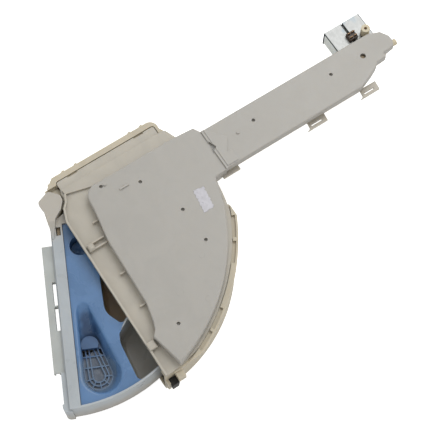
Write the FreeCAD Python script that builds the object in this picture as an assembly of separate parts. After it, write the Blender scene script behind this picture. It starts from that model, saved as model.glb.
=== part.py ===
"""Washing-machine detergent dispenser with a drawer that swings out on a vertical hinge.

Frame: +Z up, -Y is the front of the machine, +X to the right seen from the front.
The origin lies on the resting plane, on the drawer's hinge axis. Sizes are in millimetres.
"""

import FreeCAD, Part
import math
import os

from FreeCAD import Vector

# Tub: the lower housing, a straight left side and a round wall about a centre right of the hinge
tub_centre_x = 60.0
tub_radius = 155.0
tub_left = 15.0
tub_front = 2.0
tub_wall = 2.4
tub_floor = 3.0
tub_height = 54.0
tub_foot_round = 9.0
bay_foot_round = 6.5
sill_height = 7.0
jamb_depth = 3.0
jamb_post = 5.0
jamb_low = 20.0

# Flange that carries the roof, with a raised rim outside it and snap hooks
flange_thick = 2.5
left_flange_width = 8.0
left_flange_start = 15.5
left_flange_past = 1.1534
left_flange_corner = 4.0
left_flange_round = 9.0
left_taper_front = 5.0
left_taper_back = 15.0
rim_return = 1.5
rim_nub = (-18.2, 9.3, 2.0)
left_rim_width = 6.1
left_rim_back = 3.3
left_rim_end_x = -6.2
round_flange_centre = (17.0, -41.5)
round_flange_past = 61.0
round_flange_deg = (23.7, 63.5)
round_flange_tail = ((-0.2, 28.0), (1.6, 20.4), (1.0, 12.0))
round_flange_top_x = 98.0
round_rim_width = 5.6
round_ledge = 5.0
rim_height = 3.0
rim_gap = 0.8
roof_slot_front = (29.0, 40.8)
roof_slot_rear = (28.0, 16.7)
roof_slot_width = 1.4
hooks_front = (30.3, 45.2)
hooks_rear = (26.8, 12.8)
hook_length = 7.0
hook_tip = 2.2
hook_reach = 2.5
hook_drop = 3.0
window_spans_deg = ((16.6, 24.5), (25.7, 34.1), (52.1, 60.8), (62.2, 70.9))
window_rim = 2.2

# Outlet spout at the rear of the tub
spout_x = 42.0
spout_deg = 115.0
spout_bore = 14.5
spout_wall = 2.5
spout_reach = 40.0
spout_collar = 2.0
spout_collar_reach = 10.0
spout_clear = 2.4

# Hinge between tub and drawer
column_radius = 9.0
pin_radius = 2.5
pin_clearance = 0.05
pin_foot = 3.0
lug_gap = 0.3
lower_lug_thick = 4.0
lower_neck_length = 45.0
lower_neck_width = 10.0
upper_lug_thick = 6.0
upper_lug_rise = 2.0
upper_lug_sweep = 13.0
upper_lug_round = 4.0
upper_lug_corners_deg = (262.0, 186.0, 124.0, 97.0, 52.0)
upper_waist_back = (17.0, 3.6)
upper_waist_front = (11.8, -5.2)
upper_neck_length = 36.0
upper_neck_slope = 16.0
upper_neck_tip = 2.1
lug_roof = 2.5

# Drawer, drawn closed and then turned out to its open place
open_deg = 25.0
drawer_gap = 1.6
tray_lift = 9.0
tray_depth = 38.0
tray_wall = 2.0
tray_floor = 2.0
front_box_out = 2.0
front_box_in = 8.8
front_wall = 2.0
hinge_relief = 15.0
box_notch = (24.0, 33.0, 2.4, 7.0)
front_plate = 1.5
front_plate_drop = 4.0
front_plate_over = 1.5
front_plate_below = 3.0
front_lip = 5.5
front_lip_width = 8.0
front_lip_round = 5.0
front_step_gap = 0.3
flush_ports_deg = ((58.0, 66.0), (74.0, 82.0), (90.0, 98.0), (109.0, 115.0))
flush_port_height = 12.0

# Wells behind the insert: front edge of each and the wall between them, drawer closed
divider = 2.0
divider_turn_deg = 142.0
well_fillet = 5.0
well_round = 18.0
well_foot_round = 5.0
well_one_side_y = 25.0
well_one_edge = [(21.0, 38.8), (118.5, 41.8), (133.4, 57.8)]
well_two_y = 53.5
well_two_bend_x = 152.0
well_two_turn_deg = 18.5

# Insert that drops into the drawer's front, and its ledge
insert_thick = 2.0
insert_drop = 2.5
insert_gap = 0.4
insert_ledge = 1.6
insert_overlap = 4.0
finger_hole = (45.5, 24.4, 10.4)
finger_collar = 16.0
finger_skin = 1.4

# Teardrop recess of the insert: length in from the round wall, y and radius of its two ends
recess_depth = 17.5
recess_top_wide = (34.4, 33.0, 18.8)
recess_top_narrow = (104.0, 20.7, 5.5)
recess_floor_wide = (37.2, 28.3, 14.0)
recess_floor_narrow = (69.1, 22.6, 9.5)
recess_skin = 1.8
recess_mouth_round = 3.2
grille_margin = 1.0
grille_bar = 1.3
grille_pitch = 3.6
grille_rib_deg = (-75.0, -35.0, 5.0, 45.0, 85.0)
grille_cross = (0.35, 0.7)
cap_height = 5.0
cap_margin = 0.8
cap_front = 4.0
siphon_bore = 2.2
siphon_wall = 1.4
siphon_gap = 1.4
siphon_foot = 5.0

# Rail on the drawer's front that takes the decorative front
rail_from = 41.0
rail_to = 173.0
rail_width = 7.0
rail_height = 7.0
rail_gap = 3.9
rail_wall = 1.7
rail_drop = 2.5
rail_windows = ((79.5, 103.9), (105.6, 130.0))
rail_ribs = (43.0, 77.8, 103.9, 130.0, 169.0)

# Roof of the bay, with the lip and ribs on its front strip
roof_thick = 2.5
roof_lip_height = 4.5
roof_lip_width = 2.0
roof_bond = 0.5
side_step_height = 3.0
side_step_left = -5.2
side_step_front = 16.6
side_step_corner = (0.7, 17.7)
side_step_meet = 54.0
side_step_back = (138.0, 145.0)
hinge_notch = 14.5
neck_clear_x = 27.0
neck_clear_y = 8.0
neck_lip = ((1.5, 17.2), (9.2, 13.6), (14.4, 8.6))
rib_width = 1.6
small_ribs_x = (42.0, 103.0, 142.0)
small_rib_length = 6.0
post_one_x = (60.0, 68.2)
post_one_back = 2.0
post_round = 3.0
post_two_x = (178.0, 187.0)
post_depth = 7.2
post_rise = 1.5

# Water duct arm and the cover over bay and arm
arm_left = 21.0
arm_width = 49.0
arm_end = 394.0
arm_crease = 167.8
arm_step = 2.0
arm_root_length = 40.0
arm_root_lap = 8.0
arm_tip_right = (
    (0.0, 59.0),
    (7.0, 41.0),
    (11.0, 33.0),
    (15.0, 28.0),
    (15.5, 17.0),
    (20.5, 16.0),
    (21.5, 3.0),
    (27.0, 0.0),
)
arm_tip_left = ((15.0, 0.0), (6.0, 5.5), (1.0, 19.0))
cover_height = 12.0
cover_wall = 2.0
cover_inset = 2.0
cover_arc_centre = (30.0, -33.5)
cover_arc_radius = 191.8
cover_gap = 0.3
cover_left = 10.7
cover_back = 163.0
cover_corner = 13.0
cover_edge = 1.4
cover_tip_deg = 16.5
cover_root_step = 1.5
cover_front = [(34.0, 32.6), (70.0, 27.0), (145.0, 25.0), (164.0, 20.9), (172.0, 18.0), (178.0, 12.8)]
cover_pits = ((34.0, 87.0), (82.5, 107.0), (122.0, 109.0), (180.0, 40.0), (16.8, 51.0))
cover_peg = (17.2, 55.3)
cover_rib = (29.3, 65.3, 10.5)
arm_pits = ((40.0, 220.0), (40.5, 316.5))
arm_peg = (43.0, 199.0)
pit_radius = 1.9
pit_depth = 3.2
pit_skin = 1.2
nub_radius = 1.5
nub_height = 1.6
emboss_height = 0.8
emboss_start = 170.5
emboss_length = 17.0
crease_notch = ((34.5, 168.4), (44.0, 172.0), (48.5, 165.0))
crease_notch_depth = 1.2
duct_gap = 0.4
duct_wall = 2.0
duct_head = 0.5
skirt_drop = 6.0
divider_x = 45.5
divider_start_y = 334.0
divider_end = (170.0, 51.0)
divider_bend = (80.0, 96.0)
nozzle_radius = 1.6
nozzle_rows = (60.0, 88.0, 116.0)
nozzle_angles_deg = (34.0, 46.0, 58.0, 70.0, 82.0, 94.0)

# Snap tabs, peg, fixing ear and screw boss of the arm
clip_reach = 9.0
clip_thick = 2.2
clip_slot = 1.6
clip_spans = ((264.0, 290.0), (331.0, 356.0))
root_clip_length = 20.0
root_clip_reach = 5.5
peg_radius = 3.5
peg_reach = 9.0
peg_collar = 1.2
peg_collar_past = 0.4
peg_x = 41.0
ear_x = 15.0
ear_y = 379.0
ear_radius = 4.7
ear_bore = 1.7
ear_web = 4.0
screw_x = 41.0
screw_y = 357.0
screw_hole = 3.0
screw_cup = 5.0
screw_cup_depth = 5.0
screw_gap = 0.3
screw_boss = 4.8
screw_shank = 1.55
screw_head = 2.6
screw_head_height = 1.8
screw_length = 8.0

# Twin solenoid valve under the end of the arm
valve_left = 20.0
valve_right = 45.0
valve_height = 20.0
valve_margin = 0.5
valve_fillet = 2.0
coil_centres_y = (354.0, 377.0)
coil_width = 22.0
coil_length = 26.0
coil_drop = 10.5
coil_half = 10.3
coil_round = 3.0
yoke_thick = 1.2
yoke_clear = 0.3
yoke_side_gap = 0.4
tube_radius = 5.2
tube_wall = 0.5
tube_seat = 2.0
tube_flange = 1.0
plunger_gap = 0.05
plunger_length = 15.0
spring_wire = 1.0
spring_gap = 0.8
diaphragm_radius = 7.0
diaphragm_thick = 2.0
chamber_gap = 0.3
chamber_depth = 11.5
outlet_x = 32.5
outlet_shift = -6.0
outlet_radius = 3.4
outlet_bore = 2.4
outlet_rise = 6.0
seal_width = 1.8
seal_gap = 0.1
gallery_bore = 2.0
gallery_rise = 4.0
inlet_x = 34.0
inlet_radius = 13.2
inlet_bore = 9.5
inlet_reach = 15.0
collar_width = 2.0
collar_height = 3.0
collar_drop = 3.0
filter_length = 13.0
filter_wall = 1.2
filter_brim = 2.0
filter_lift = 1.0
filter_slots = 4
filter_slot = 1.6
regulator_thick = 3.0
regulator_bore = 2.5
connector_height = 5.0
connector_length = 9.5
connector_inset = 4.5
connector_width = 10.0
connector_round = 0.8
terminal_thick = 0.8
terminal_width = 3.6
terminal_reach = 3.0

# Drawer catch at the right-hand jamb
catch_width = 8.0
catch_depth = 10.0
catch_height = 14.0
catch_base = 26.0
catch_gap = 0.2
catch_bracket = (13.0, 21.0)
catch_bevel = 3.0

# Heights and places worked out from the values above
roof_z = tub_height
roof_top = roof_z + roof_thick
cover_top = roof_top + cover_height
arm_top = cover_top + arm_step
tray_bottom = tub_floor + tray_lift
tray_rim = tray_bottom + tray_depth
insert_top = tray_rim - insert_drop
insert_under = insert_top - insert_thick
recess_floor_z = insert_top - recess_depth
tray_radius = tub_radius - tub_wall - drawer_gap
tray_left = -(tub_left - tub_wall - drawer_gap)
insert_left = well_one_edge[0][0]
lower_lug_z = tray_bottom - lower_lug_thick
upper_lug_z = tray_rim + upper_lug_rise
upper_lug_top = upper_lug_z + upper_lug_thick
column_top = upper_lug_z - lug_gap
roof_left = -(tub_left + left_flange_width - left_rim_width - rim_gap)
roof_front = tub_front + rim_gap
tub_right = tub_centre_x + tub_radius
tub_back = math.sqrt(tub_radius**2 - (tub_left + tub_centre_x) ** 2)
left_flange_end = tub_back + left_flange_past
roof_slots = (roof_slot_front, tuple(left_flange_end - back for back in roof_slot_rear))
hook_ends = hooks_front + tuple(left_flange_end - back for back in hooks_rear)
round_flange_radius = tub_radius + round_flange_past
round_rim_radius = round_flange_radius - round_rim_width
round_ledge_radius = tub_radius - tub_wall - round_ledge
arm_right = arm_left + arm_width
arm_tight = cover_wall + duct_gap
screw_seat = arm_top - screw_cup_depth
coil_axis_z = roof_z - coil_drop
yoke_top = coil_axis_z + coil_half + yoke_clear + yoke_thick
yoke_low = coil_axis_z - coil_half
coil_right = valve_left - yoke_thick - yoke_clear
coil_left = coil_right - coil_length
yoke_left = coil_left - yoke_clear - yoke_thick
valve_bottom = roof_z - valve_height
valve_middle_y = sum(coil_centres_y) / len(coil_centres_y)
inlet_low = valve_bottom - inlet_reach
spout_z = spout_bore + spout_wall + spout_clear
peg_z = arm_top - cover_wall - skirt_drop - cover_gap - peg_radius - peg_collar
siphon_pipe_radius = siphon_bore + siphon_wall
siphon_skirt_bore = siphon_pipe_radius + siphon_gap
siphon_skirt_radius = siphon_skirt_bore + recess_skin
recess_mouth = [(tub_right - x, y, radius) for x, y, radius in (recess_top_wide, recess_top_narrow)]
recess_floor = [(tub_right - x, y, radius) for x, y, radius in (recess_floor_wide, recess_floor_narrow)]
siphon_x = recess_floor[1][0] - siphon_skirt_radius
siphon_y = recess_floor[1][1]

# Length by which a cutting solid runs past the face that it cuts
past = 1.0


def raise_face(face, low, high):
    """A flat face at Z 0, raised into a solid between two heights."""
    moved = face.copy()
    moved.translate(Vector(0, 0, low))
    return moved.extrude(Vector(0, 0, high - low))


def block(x0, x1, y0, y1, z0, z1):
    return Part.makeBox(x1 - x0, y1 - y0, z1 - z0, Vector(x0, y0, z0))


def upright(x, y, radius, low, high):
    """A cylinder along Z."""
    return Part.makeCylinder(radius, high - low, Vector(x, y, low))


def along_x(y, z, radius, low, high):
    return Part.makeCylinder(radius, high - low, Vector(low, y, z), Vector(1, 0, 0))


def along_y(x, z, radius, low, high):
    return Part.makeCylinder(radius, high - low, Vector(x, low, z), Vector(0, 1, 0))


def along_heading(point, z, degrees, radius, low, high):
    """A level cylinder in a heading, between two lengths from a plan point."""
    x, y = ahead(point, degrees, low)
    heading = Vector(math.cos(math.radians(degrees)), math.sin(math.radians(degrees)), 0)
    return Part.makeCylinder(radius, high - low, Vector(x, y, z), heading)


def polygon(points):
    corners = [Vector(x, y, 0) for x, y in points]
    return Part.Face(Part.makePolygon(corners + corners[:1]))


def line(a, b):
    return Part.LineSegment(Vector(a[0], a[1], 0), Vector(b[0], b[1], 0)).toShape()


def arc(a, through, b):
    return Part.Arc(*(Vector(p[0], p[1], 0) for p in (a, through, b))).toShape()


def on_circle(centre_x, centre_y, radius, degrees):
    turn = math.radians(degrees)
    return centre_x + radius * math.cos(turn), centre_y + radius * math.sin(turn)


def ahead(point, degrees, length):
    """The plan point that lies a length away from another, in a heading."""
    return on_circle(point[0], point[1], length, degrees)


def meet_round(start, degrees, radius):
    """Where a heading from a plan point meets a circle about the centre of the round wall."""
    across = start[0] - tub_centre_x
    turn = math.radians(degrees)
    half = across * math.cos(turn) + start[1] * math.sin(turn)
    reach = -half + math.sqrt(half**2 - across**2 - start[1] ** 2 + radius**2)
    return ahead(start, degrees, reach)


def bay_face(left, radius, front):
    """Plan of the drawer bay: a straight front and left side, closed by the round wall."""
    right = tub_centre_x + math.sqrt(radius**2 - front**2)
    back = math.sqrt(radius**2 - (left - tub_centre_x) ** 2)
    through = on_circle(tub_centre_x, 0, radius, 60)
    edges = [
        line((left, front), (right, front)),
        arc((right, front), through, (left, back)),
        line((left, back), (left, front)),
    ]
    return Part.Face(Part.Wire(edges))


def ring(inner, outer, from_deg, to_deg, low, high):
    """Part of a ring about the centre of the round wall."""
    axis = Vector(0, 0, 1)
    whole = Part.makeCylinder(outer, high - low, Vector(tub_centre_x, 0, low), axis, to_deg - from_deg)
    whole.rotate(Vector(tub_centre_x, 0, 0), axis, from_deg)
    return whole.cut(upright(tub_centre_x, 0, inner, low - past, high + past))


def wall_along(points, width, low, high):
    """A wall of even width along a run of straight stretches, with round corners."""
    pieces = []
    for (ax, ay), (bx, by) in zip(points, points[1:]):
        length = math.hypot(bx - ax, by - ay)
        stretch = block(0, length, -width / 2, width / 2, low, high)
        stretch.rotate(Vector(0, 0, 0), Vector(0, 0, 1), math.degrees(math.atan2(by - ay, bx - ax)))
        stretch.translate(Vector(ax, ay, 0))
        pieces.append(stretch)
    pieces += [upright(x, y, width / 2, low, high) for x, y in points]
    return pieces[0].multiFuse(pieces[1:]).removeSplitter()


def teardrop(wide, narrow, grow, z):
    """Outline round a wide and a narrow circle, joined by their outer tangents."""
    wx, wy, wide_radius = wide
    nx, ny, narrow_radius = narrow
    wide_radius += grow
    narrow_radius += grow
    heading = math.degrees(math.atan2(ny - wy, nx - wx))
    spread = math.degrees(math.acos((wide_radius - narrow_radius) / math.hypot(nx - wx, ny - wy)))
    wide_a = on_circle(wx, wy, wide_radius, heading + spread)
    wide_b = on_circle(wx, wy, wide_radius, heading - spread)
    narrow_a = on_circle(nx, ny, narrow_radius, heading + spread)
    narrow_b = on_circle(nx, ny, narrow_radius, heading - spread)
    edges = [
        arc(wide_a, on_circle(wx, wy, wide_radius, heading + 180), wide_b),
        line(wide_b, narrow_b),
        arc(narrow_b, on_circle(nx, ny, narrow_radius, heading), narrow_a),
        line(narrow_a, wide_a),
    ]
    outline = Part.Wire(edges)
    outline.translate(Vector(0, 0, z))
    return outline


def upright_edges(shape, point):
    """The vertical edges of a solid that stand on a plan point."""
    found = []
    for edge in shape.Edges:
        a, b = edge.Vertexes[0].Point, edge.Vertexes[-1].Point
        stands = abs(a.z - b.z) > past and math.hypot(a.x - b.x, a.y - b.y) < 1e-6
        if stands and math.hypot(a.x - point[0], a.y - point[1]) < 0.01:
            found.append(edge)
    return found


def edges_at(shape, z):
    """The edges of a solid that lie wholly at one height."""
    return [e for e in shape.Edges if e.BoundBox.ZLength < 1e-6 and abs(e.BoundBox.ZMin - z) < 1e-6]


def housing_tub():
    """Lower housing: floor, walls, open front, flange, spout and the hinge column."""
    spout_foot = (spout_x, math.sqrt(tub_radius**2 - (spout_x - tub_centre_x) ** 2))
    spout_outer = spout_bore + spout_wall
    body = raise_face(bay_face(-tub_left, tub_radius, tub_front), 0, tub_height)
    body = body.makeFillet(tub_foot_round, round_edges(body, 0))
    for radius, reach in ((spout_outer, spout_reach), (spout_outer + spout_collar, spout_collar_reach)):
        body = body.fuse(along_heading(spout_foot, spout_z, spout_deg, radius, -spout_outer, reach))
    body = body.fuse(tub_flanges())
    inner_left = -tub_left + tub_wall
    inner_radius = tub_radius - tub_wall
    under_ledge = roof_z - flange_thick
    behind_sill = bay_face(inner_left, inner_radius, tub_front + tub_wall)
    behind_sill = raise_face(behind_sill, tub_floor, under_ledge)
    behind_sill = behind_sill.makeFillet(bay_foot_round, round_edges(behind_sill, tub_floor))
    mouth = raise_face(bay_face(inner_left, inner_radius, tub_front - tub_wall), sill_height, under_ledge)
    mouth = mouth.cut(block(-tub_left, 2 * tub_radius, tub_front + tub_wall, tub_radius, 0, tub_height))
    top = bay_face(inner_left, round_ledge_radius, tub_front - tub_wall)
    for space in (behind_sill, mouth, raise_face(top, under_ledge, tub_height)):
        body = body.cut(space)
    body = body.cut(along_heading(spout_foot, spout_z, spout_deg, spout_bore, -spout_outer, spout_reach))
    body = body.fuse(block(-tub_left, 0, tub_front, tub_front + jamb_depth, 0, column_top))
    body = body.fuse(upright(0, 0, column_radius, 0, column_top))
    body = body.cut(upright(0, 0, column_radius + lug_gap, lower_lug_z - lug_gap, tray_bottom + lug_gap))
    over_left = -tub_left + rim_return
    over_right = upper_lug_sweep + column_radius
    body = body.cut(block(over_left, over_right, -tub_left, left_flange_start - past, column_top, arm_top))
    body = body.cut(upright(0, 0, pin_radius + pin_clearance, pin_foot, column_top + past))
    return body.fuse(right_jamb()).removeSplitter()


def round_edges(shape, z):
    """The edge of the round wall at one height."""
    return [e for e in edges_at(shape, z) if isinstance(e.Curve, Part.Circle)]


def round_flange_face():
    """Plan out to the edge of the flange along the round wall, which is flatter than the wall."""
    first, last = round_flange_deg
    ends = [on_circle(*round_flange_centre, round_flange_radius, angle) for angle in (last, first)]
    middle = on_circle(*round_flange_centre, round_flange_radius, (first + last) / 2)
    low_y = round_flange_tail[-1][1]
    tail = [(tub_right + x, y) for x, y in round_flange_tail]
    run = [ends[1], *tail, (tub_centre_x, low_y), (round_flange_top_x, ends[0][1]), ends[0]]
    edges = [arc(ends[0], middle, ends[1])] + [line(a, b) for a, b in zip(run, run[1:])]
    return Part.Face(Part.Wire(edges))


def round_rim(grow, low, high):
    """Raised rim along the round flange, grown where it cuts its gap into the roof."""
    rim = raise_face(round_flange_face(), low, high)
    inside = upright(*round_flange_centre, round_rim_radius - grow, low - past, high + past)
    return rim.cut(inside)


def tub_flanges():
    """Flange and rim on the left side and along the round wall, with their hooks and windows."""
    outer_x = -tub_left - left_flange_width
    low = roof_z - flange_thick
    rim_top = roof_z + rim_height
    rim_x = outer_x + left_rim_width
    inner_x = -tub_left + tub_wall
    wrap_x = -tub_left + rim_return
    back = left_flange_end - left_rim_back
    outside = [(outer_x, left_flange_end), (outer_x, left_taper_back), (-tub_left, left_taper_front)]
    rear = [(left_rim_end_x, back), (left_rim_end_x, left_flange_end)]
    shelf = polygon(outside + [(inner_x, left_taper_front), (inner_x, back)] + rear)
    shelf = raise_face(shelf, low, roof_z)
    wrap = [(wrap_x, left_taper_front), (wrap_x, left_flange_start), (rim_x, left_flange_start)]
    rim = raise_face(polygon(outside + wrap + [(rim_x, back)] + rear), low, rim_top)
    for corner in ((rim_x, left_flange_start), (rim_x, back)):
        rim = rim.makeFillet(left_flange_corner - rim_gap, upright_edges(rim, corner))
    shelf = shelf.fuse(rim).removeSplitter()
    shelf = shelf.makeFillet(left_flange_round, upright_edges(shelf, (outer_x, left_flange_end)))
    nub_x, nub_y, nub = rim_nub
    shelf = shelf.fuse(upright(nub_x, nub_y, nub, low, roof_z))
    ledge = raise_face(round_flange_face(), low, roof_z)
    pieces = [ledge.cut(upright(tub_centre_x, 0, round_ledge_radius, low - past, roof_z + past))]
    pieces.append(round_rim(0, low, rim_top))
    for y in hook_ends:
        root_x, tip_x = outer_x + past, outer_x - hook_reach
        hook = polygon([(root_x, y - hook_length), (tip_x, y - hook_tip), (tip_x, y), (root_x, y)])
        pieces.append(raise_face(hook, low - hook_drop, roof_z))
    flange = shelf.multiFuse(pieces)
    inner, outer = round_rim_radius, round_flange_radius - window_rim
    channel = upright(*round_flange_centre, outer, roof_z, rim_top + past)
    channel = channel.cut(upright(*round_flange_centre, inner, roof_z - past, rim_top + 2 * past))
    reach = tub_radius + 2 * round_rim_width
    for start, end in window_spans_deg:
        sector = ring(round_ledge_radius, reach, start, end, roof_z, rim_top + past)
        flange = flange.cut(channel.common(sector))
    return flange


def right_jamb():
    """Post at the right of the mouth, and behind it a bracket over the drawer catch."""
    edge = tub_centre_x + tub_radius
    catch_top = catch_base + catch_height
    post_back = tub_front + jamb_depth
    post = block(edge - tub_wall / 2, edge + jamb_post, tub_front, post_back, jamb_low, catch_top)
    outer = edge + catch_gap + catch_width
    return post.fuse(block(edge - tub_wall, outer, *catch_bracket, catch_top, roof_z - flange_thick))


def drawer_catch():
    """Black catch behind the right-hand post, under its bracket."""
    left = tub_centre_x + tub_radius + catch_gap
    right = left + catch_width
    front = tub_front + jamb_depth
    back = front + catch_depth
    plan = [(left, front), (right, front), (right, back - catch_bevel)]
    plan += [(right - catch_bevel, back), (left, back)]
    return raise_face(polygon(plan), catch_base, catch_base + catch_height)


def hinge_pin():
    """Steel pin from the foot of the column up into the drawer's closed upper lug."""
    return upright(0, 0, pin_radius, pin_foot, upper_lug_top - lug_roof - lug_gap)


def arm_face(inset):
    """Plan of the duct arm with its stepped end, taken in all round."""
    points = [(arm_left, arm_crease - arm_root_lap), (arm_right, arm_crease - arm_root_lap)]
    points += [(arm_right - aside, arm_end - back) for aside, back in arm_tip_right]
    points += [(arm_left + aside, arm_end - back) for aside, back in arm_tip_left]
    face = polygon(points)
    return face.makeOffset2D(-inset, 2) if inset else face


def roof_plan():
    """Sheet between tub and cover: bay plan with a notch for the drawer's upper hinge lug."""
    sheet = raise_face(bay_face(roof_left, tub_radius, roof_front), roof_z, roof_top)
    out = -tub_left - left_flange_width
    back = left_flange_start + rim_gap
    notch = polygon(
        [
            (out, -tub_left),
            (out, back),
            (-hinge_notch / 2, back),
            (hinge_notch * math.cos(math.radians(30)), neck_clear_y),
            (neck_clear_x, roof_front),
            (neck_clear_x, -tub_left),
        ]
    )
    low, high = roof_z - past, roof_top + past
    sheet = sheet.cut(raise_face(notch, low, high)).cut(upright(0, 0, hinge_notch, low, high))
    strip_end = left_flange_end - left_rim_back - rim_gap
    sheet = sheet.cut(block(out, left_rim_end_x + rim_gap, strip_end, tub_radius, low, high))
    for corner in ((roof_left, back), (roof_left, strip_end)):
        sheet = sheet.makeFillet(left_flange_corner - 2 * rim_gap, upright_edges(sheet, corner))
    slot_x = roof_left + roof_slot_width
    slots = [block(out, slot_x, start, end, low, high) for start, end in roof_slots]
    sheet = sheet.cut(Part.makeCompound(slots))
    return sheet.cut(round_rim(rim_gap, low, high))


def distributor_plate():
    """Roof of the bay and floor of the water duct, with nozzles over the drawer."""
    plate = roof_plan().fuse(raise_face(arm_face(arm_tight), roof_z, roof_top))
    root = raise_face(cover_plan(0), roof_z, roof_top)
    root = root.common(block(0, arm_right + past, arm_crease - arm_root_length, arm_crease, roof_z, roof_top))
    plate = plate.fuse(root)
    wall_top = arm_top - cover_wall - duct_head
    walls = raise_face(arm_face(arm_tight), roof_z, wall_top)
    walls = walls.cut(raise_face(arm_face(arm_tight + duct_wall), roof_top, wall_top))
    riser_back = arm_crease + arm_tight
    walls = walls.cut(block(arm_left, arm_right, 0, riser_back, roof_top, wall_top))
    plate = plate.fuse(walls)
    plate = plate.multiFuse(roof_ribs() + arm_fittings())
    holes = []
    for radius in nozzle_rows:
        for angle in nozzle_angles_deg:
            x, y = on_circle(tub_centre_x, 0, radius, angle)
            holes.append(upright(x, y, nozzle_radius, roof_z - past, roof_top + past))
    for y in coil_centres_y:
        bore = outlet_radius + duct_gap
        holes.append(upright(outlet_x, y + outlet_shift, bore, roof_z - past, roof_top + past))
    holes.append(upright(ear_x, ear_y, ear_bore, roof_z, arm_top))
    holes.append(upright(screw_x, screw_y, screw_shank + pin_clearance, screw_seat - screw_length, arm_top))
    return plate.cut(Part.makeCompound(holes)).removeSplitter()


def cover_front_at(x):
    """Y of the cover's front edge at a place along it."""
    for (ax, ay), (bx, by) in zip(cover_front, cover_front[1:]):
        if x <= bx:
            return ay + (by - ay) * (x - ax) / (bx - ax)
    return cover_front[-1][1]


def roof_ribs():
    """Front lip, side step and the posts and ribs on the strip in front of the cover."""
    lip_back = roof_front + roof_lip_width
    right = tub_centre_x + math.sqrt(tub_radius**2 - lip_back**2)
    low = roof_top - roof_bond
    lip_top = roof_top + roof_lip_height
    pieces = [block(neck_clear_x, right, roof_front, lip_back, low, lip_top)]
    half = roof_lip_width / 2
    lip_run = [*neck_lip, (neck_clear_x + half, roof_front + half)]
    pieces.append(wall_along(lip_run, roof_lip_width, low, lip_top))
    step_right = cover_left - cover_gap
    left_back, right_back = side_step_back
    step = [(side_step_left, side_step_front), side_step_corner, (step_right, side_step_meet)]
    step += [(step_right, right_back), (side_step_left, left_back)]
    pieces.append(raise_face(polygon(step), low, roof_top + side_step_height))
    for x in small_ribs_x:
        rib_back = cover_front_at(x) - cover_gap
        pieces.append(block(x, x + rib_width, rib_back - small_rib_length, rib_back, low, lip_top))
    front = lip_back + post_one_back
    left, right = post_one_x
    back = cover_front_at(right) - cover_gap
    post = block(left, right, front, front + post_depth, low, lip_top + post_rise)
    pieces.append(post.makeFillet(post_round, edges_at(post, lip_top + post_rise)))
    for x in (left, right - rib_width):
        pieces.append(block(x, x + rib_width, front, back, low, lip_top))
    left, right = post_two_x
    post = block(left, right, roof_front, lip_back + post_depth, low, lip_top + post_rise)
    pieces.append(post.makeFillet(post_round / 2, edges_at(post, lip_top + post_rise)))
    return pieces


def arm_fittings():
    """Snap tabs, locating peg, fixing ear, screw boss and duct divider of the arm's lower half."""
    edge = arm_right - arm_tight - past
    tab_end = edge + past + clip_reach
    low = roof_top - clip_thick
    pieces = []
    for start, end in clip_spans:
        outline = [(edge, start + 5), (tab_end - 2, start + 4), (tab_end, start)]
        tab = polygon(outline + [(tab_end, end - 1), (edge, end)])
        slot_x = tab_end - 2 * clip_slot
        slot = block(slot_x - clip_slot, slot_x, start + 7, end - 6, low - past, roof_top + past)
        pieces.append(raise_face(tab, low, roof_top).cut(slot))
    root_y = arm_crease - root_clip_length / 4
    root_end = edge + past + root_clip_reach
    pieces.append(block(edge, root_end, root_y, root_y + root_clip_length, low, roof_top))
    left = arm_left + arm_tight
    small_y = root_y + root_clip_length / 2
    small_end = root_y + root_clip_length
    pieces.append(block(left - clip_reach / 2, left + past, small_y, small_end, low, roof_top))
    inner_end = arm_end - arm_tight
    peg_root = inner_end - duct_wall
    pieces.append(along_y(peg_x, peg_z, peg_radius, peg_root, inner_end + peg_reach))
    pieces.append(along_y(peg_x, peg_z, peg_radius + peg_collar, peg_root, arm_end + peg_collar_past))
    ear_low = yoke_top + screw_head_height
    pieces.append(upright(ear_x, ear_y, ear_radius, ear_low, arm_top - cover_wall))
    web_top = arm_top - cover_wall - skirt_drop - cover_gap
    web_right = arm_left + arm_tight + duct_wall
    pieces.append(block(ear_x, web_right, ear_y - ear_web / 2, ear_y + ear_web / 2, ear_low, web_top))
    boss_top = screw_seat - cover_wall - screw_gap
    pieces.append(upright(screw_x, screw_y, screw_boss, roof_top - roof_bond, boss_top))
    runs = [(divider_x, divider_start_y), (divider_x, arm_crease - screw_boss), divider_bend, divider_end]
    pieces.append(wall_along(runs, duct_wall, roof_top - roof_bond, cover_top - cover_wall - duct_head))
    return pieces


def cover_plan(inset):
    """Plan of the cover over the bay, up to the crease where the arm begins."""
    left, back = cover_left, cover_back
    root_x = arm_right + cover_root_step
    root_deg = math.degrees(math.acos((root_x - cover_arc_centre[0]) / cover_arc_radius))
    corner_x = left + cover_corner
    corner_y = cover_front[0][1] + (cover_front[0][0] - corner_x) / cover_corner + cover_corner
    corner_start = (left, corner_y)
    corner_mid = on_circle(corner_x, corner_y, cover_corner, 225)
    corner_end = (corner_x, corner_y - cover_corner)
    tip = on_circle(*cover_arc_centre, cover_arc_radius, cover_tip_deg)
    root = on_circle(*cover_arc_centre, cover_arc_radius, root_deg)
    middle = on_circle(*cover_arc_centre, cover_arc_radius, (cover_tip_deg + root_deg) / 2)
    front = [corner_end] + cover_front + [tip]
    edges = [arc(corner_start, corner_mid, corner_end)]
    edges += [line(a, b) for a, b in zip(front, front[1:])]
    edges.append(arc(tip, middle, root))
    neck_y = (back + arm_crease) / 2
    rest = [root, (arm_right, neck_y), (arm_right, arm_crease), (arm_left, arm_crease)]
    rest += [(left + cover_inset, back), (left, back - 2 * cover_corner), corner_start]
    edges += [line(a, b) for a, b in zip(rest, rest[1:])]
    face = Part.Face(Part.Wire(edges))
    return face.makeOffset2D(-inset, 2) if inset else face


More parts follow.
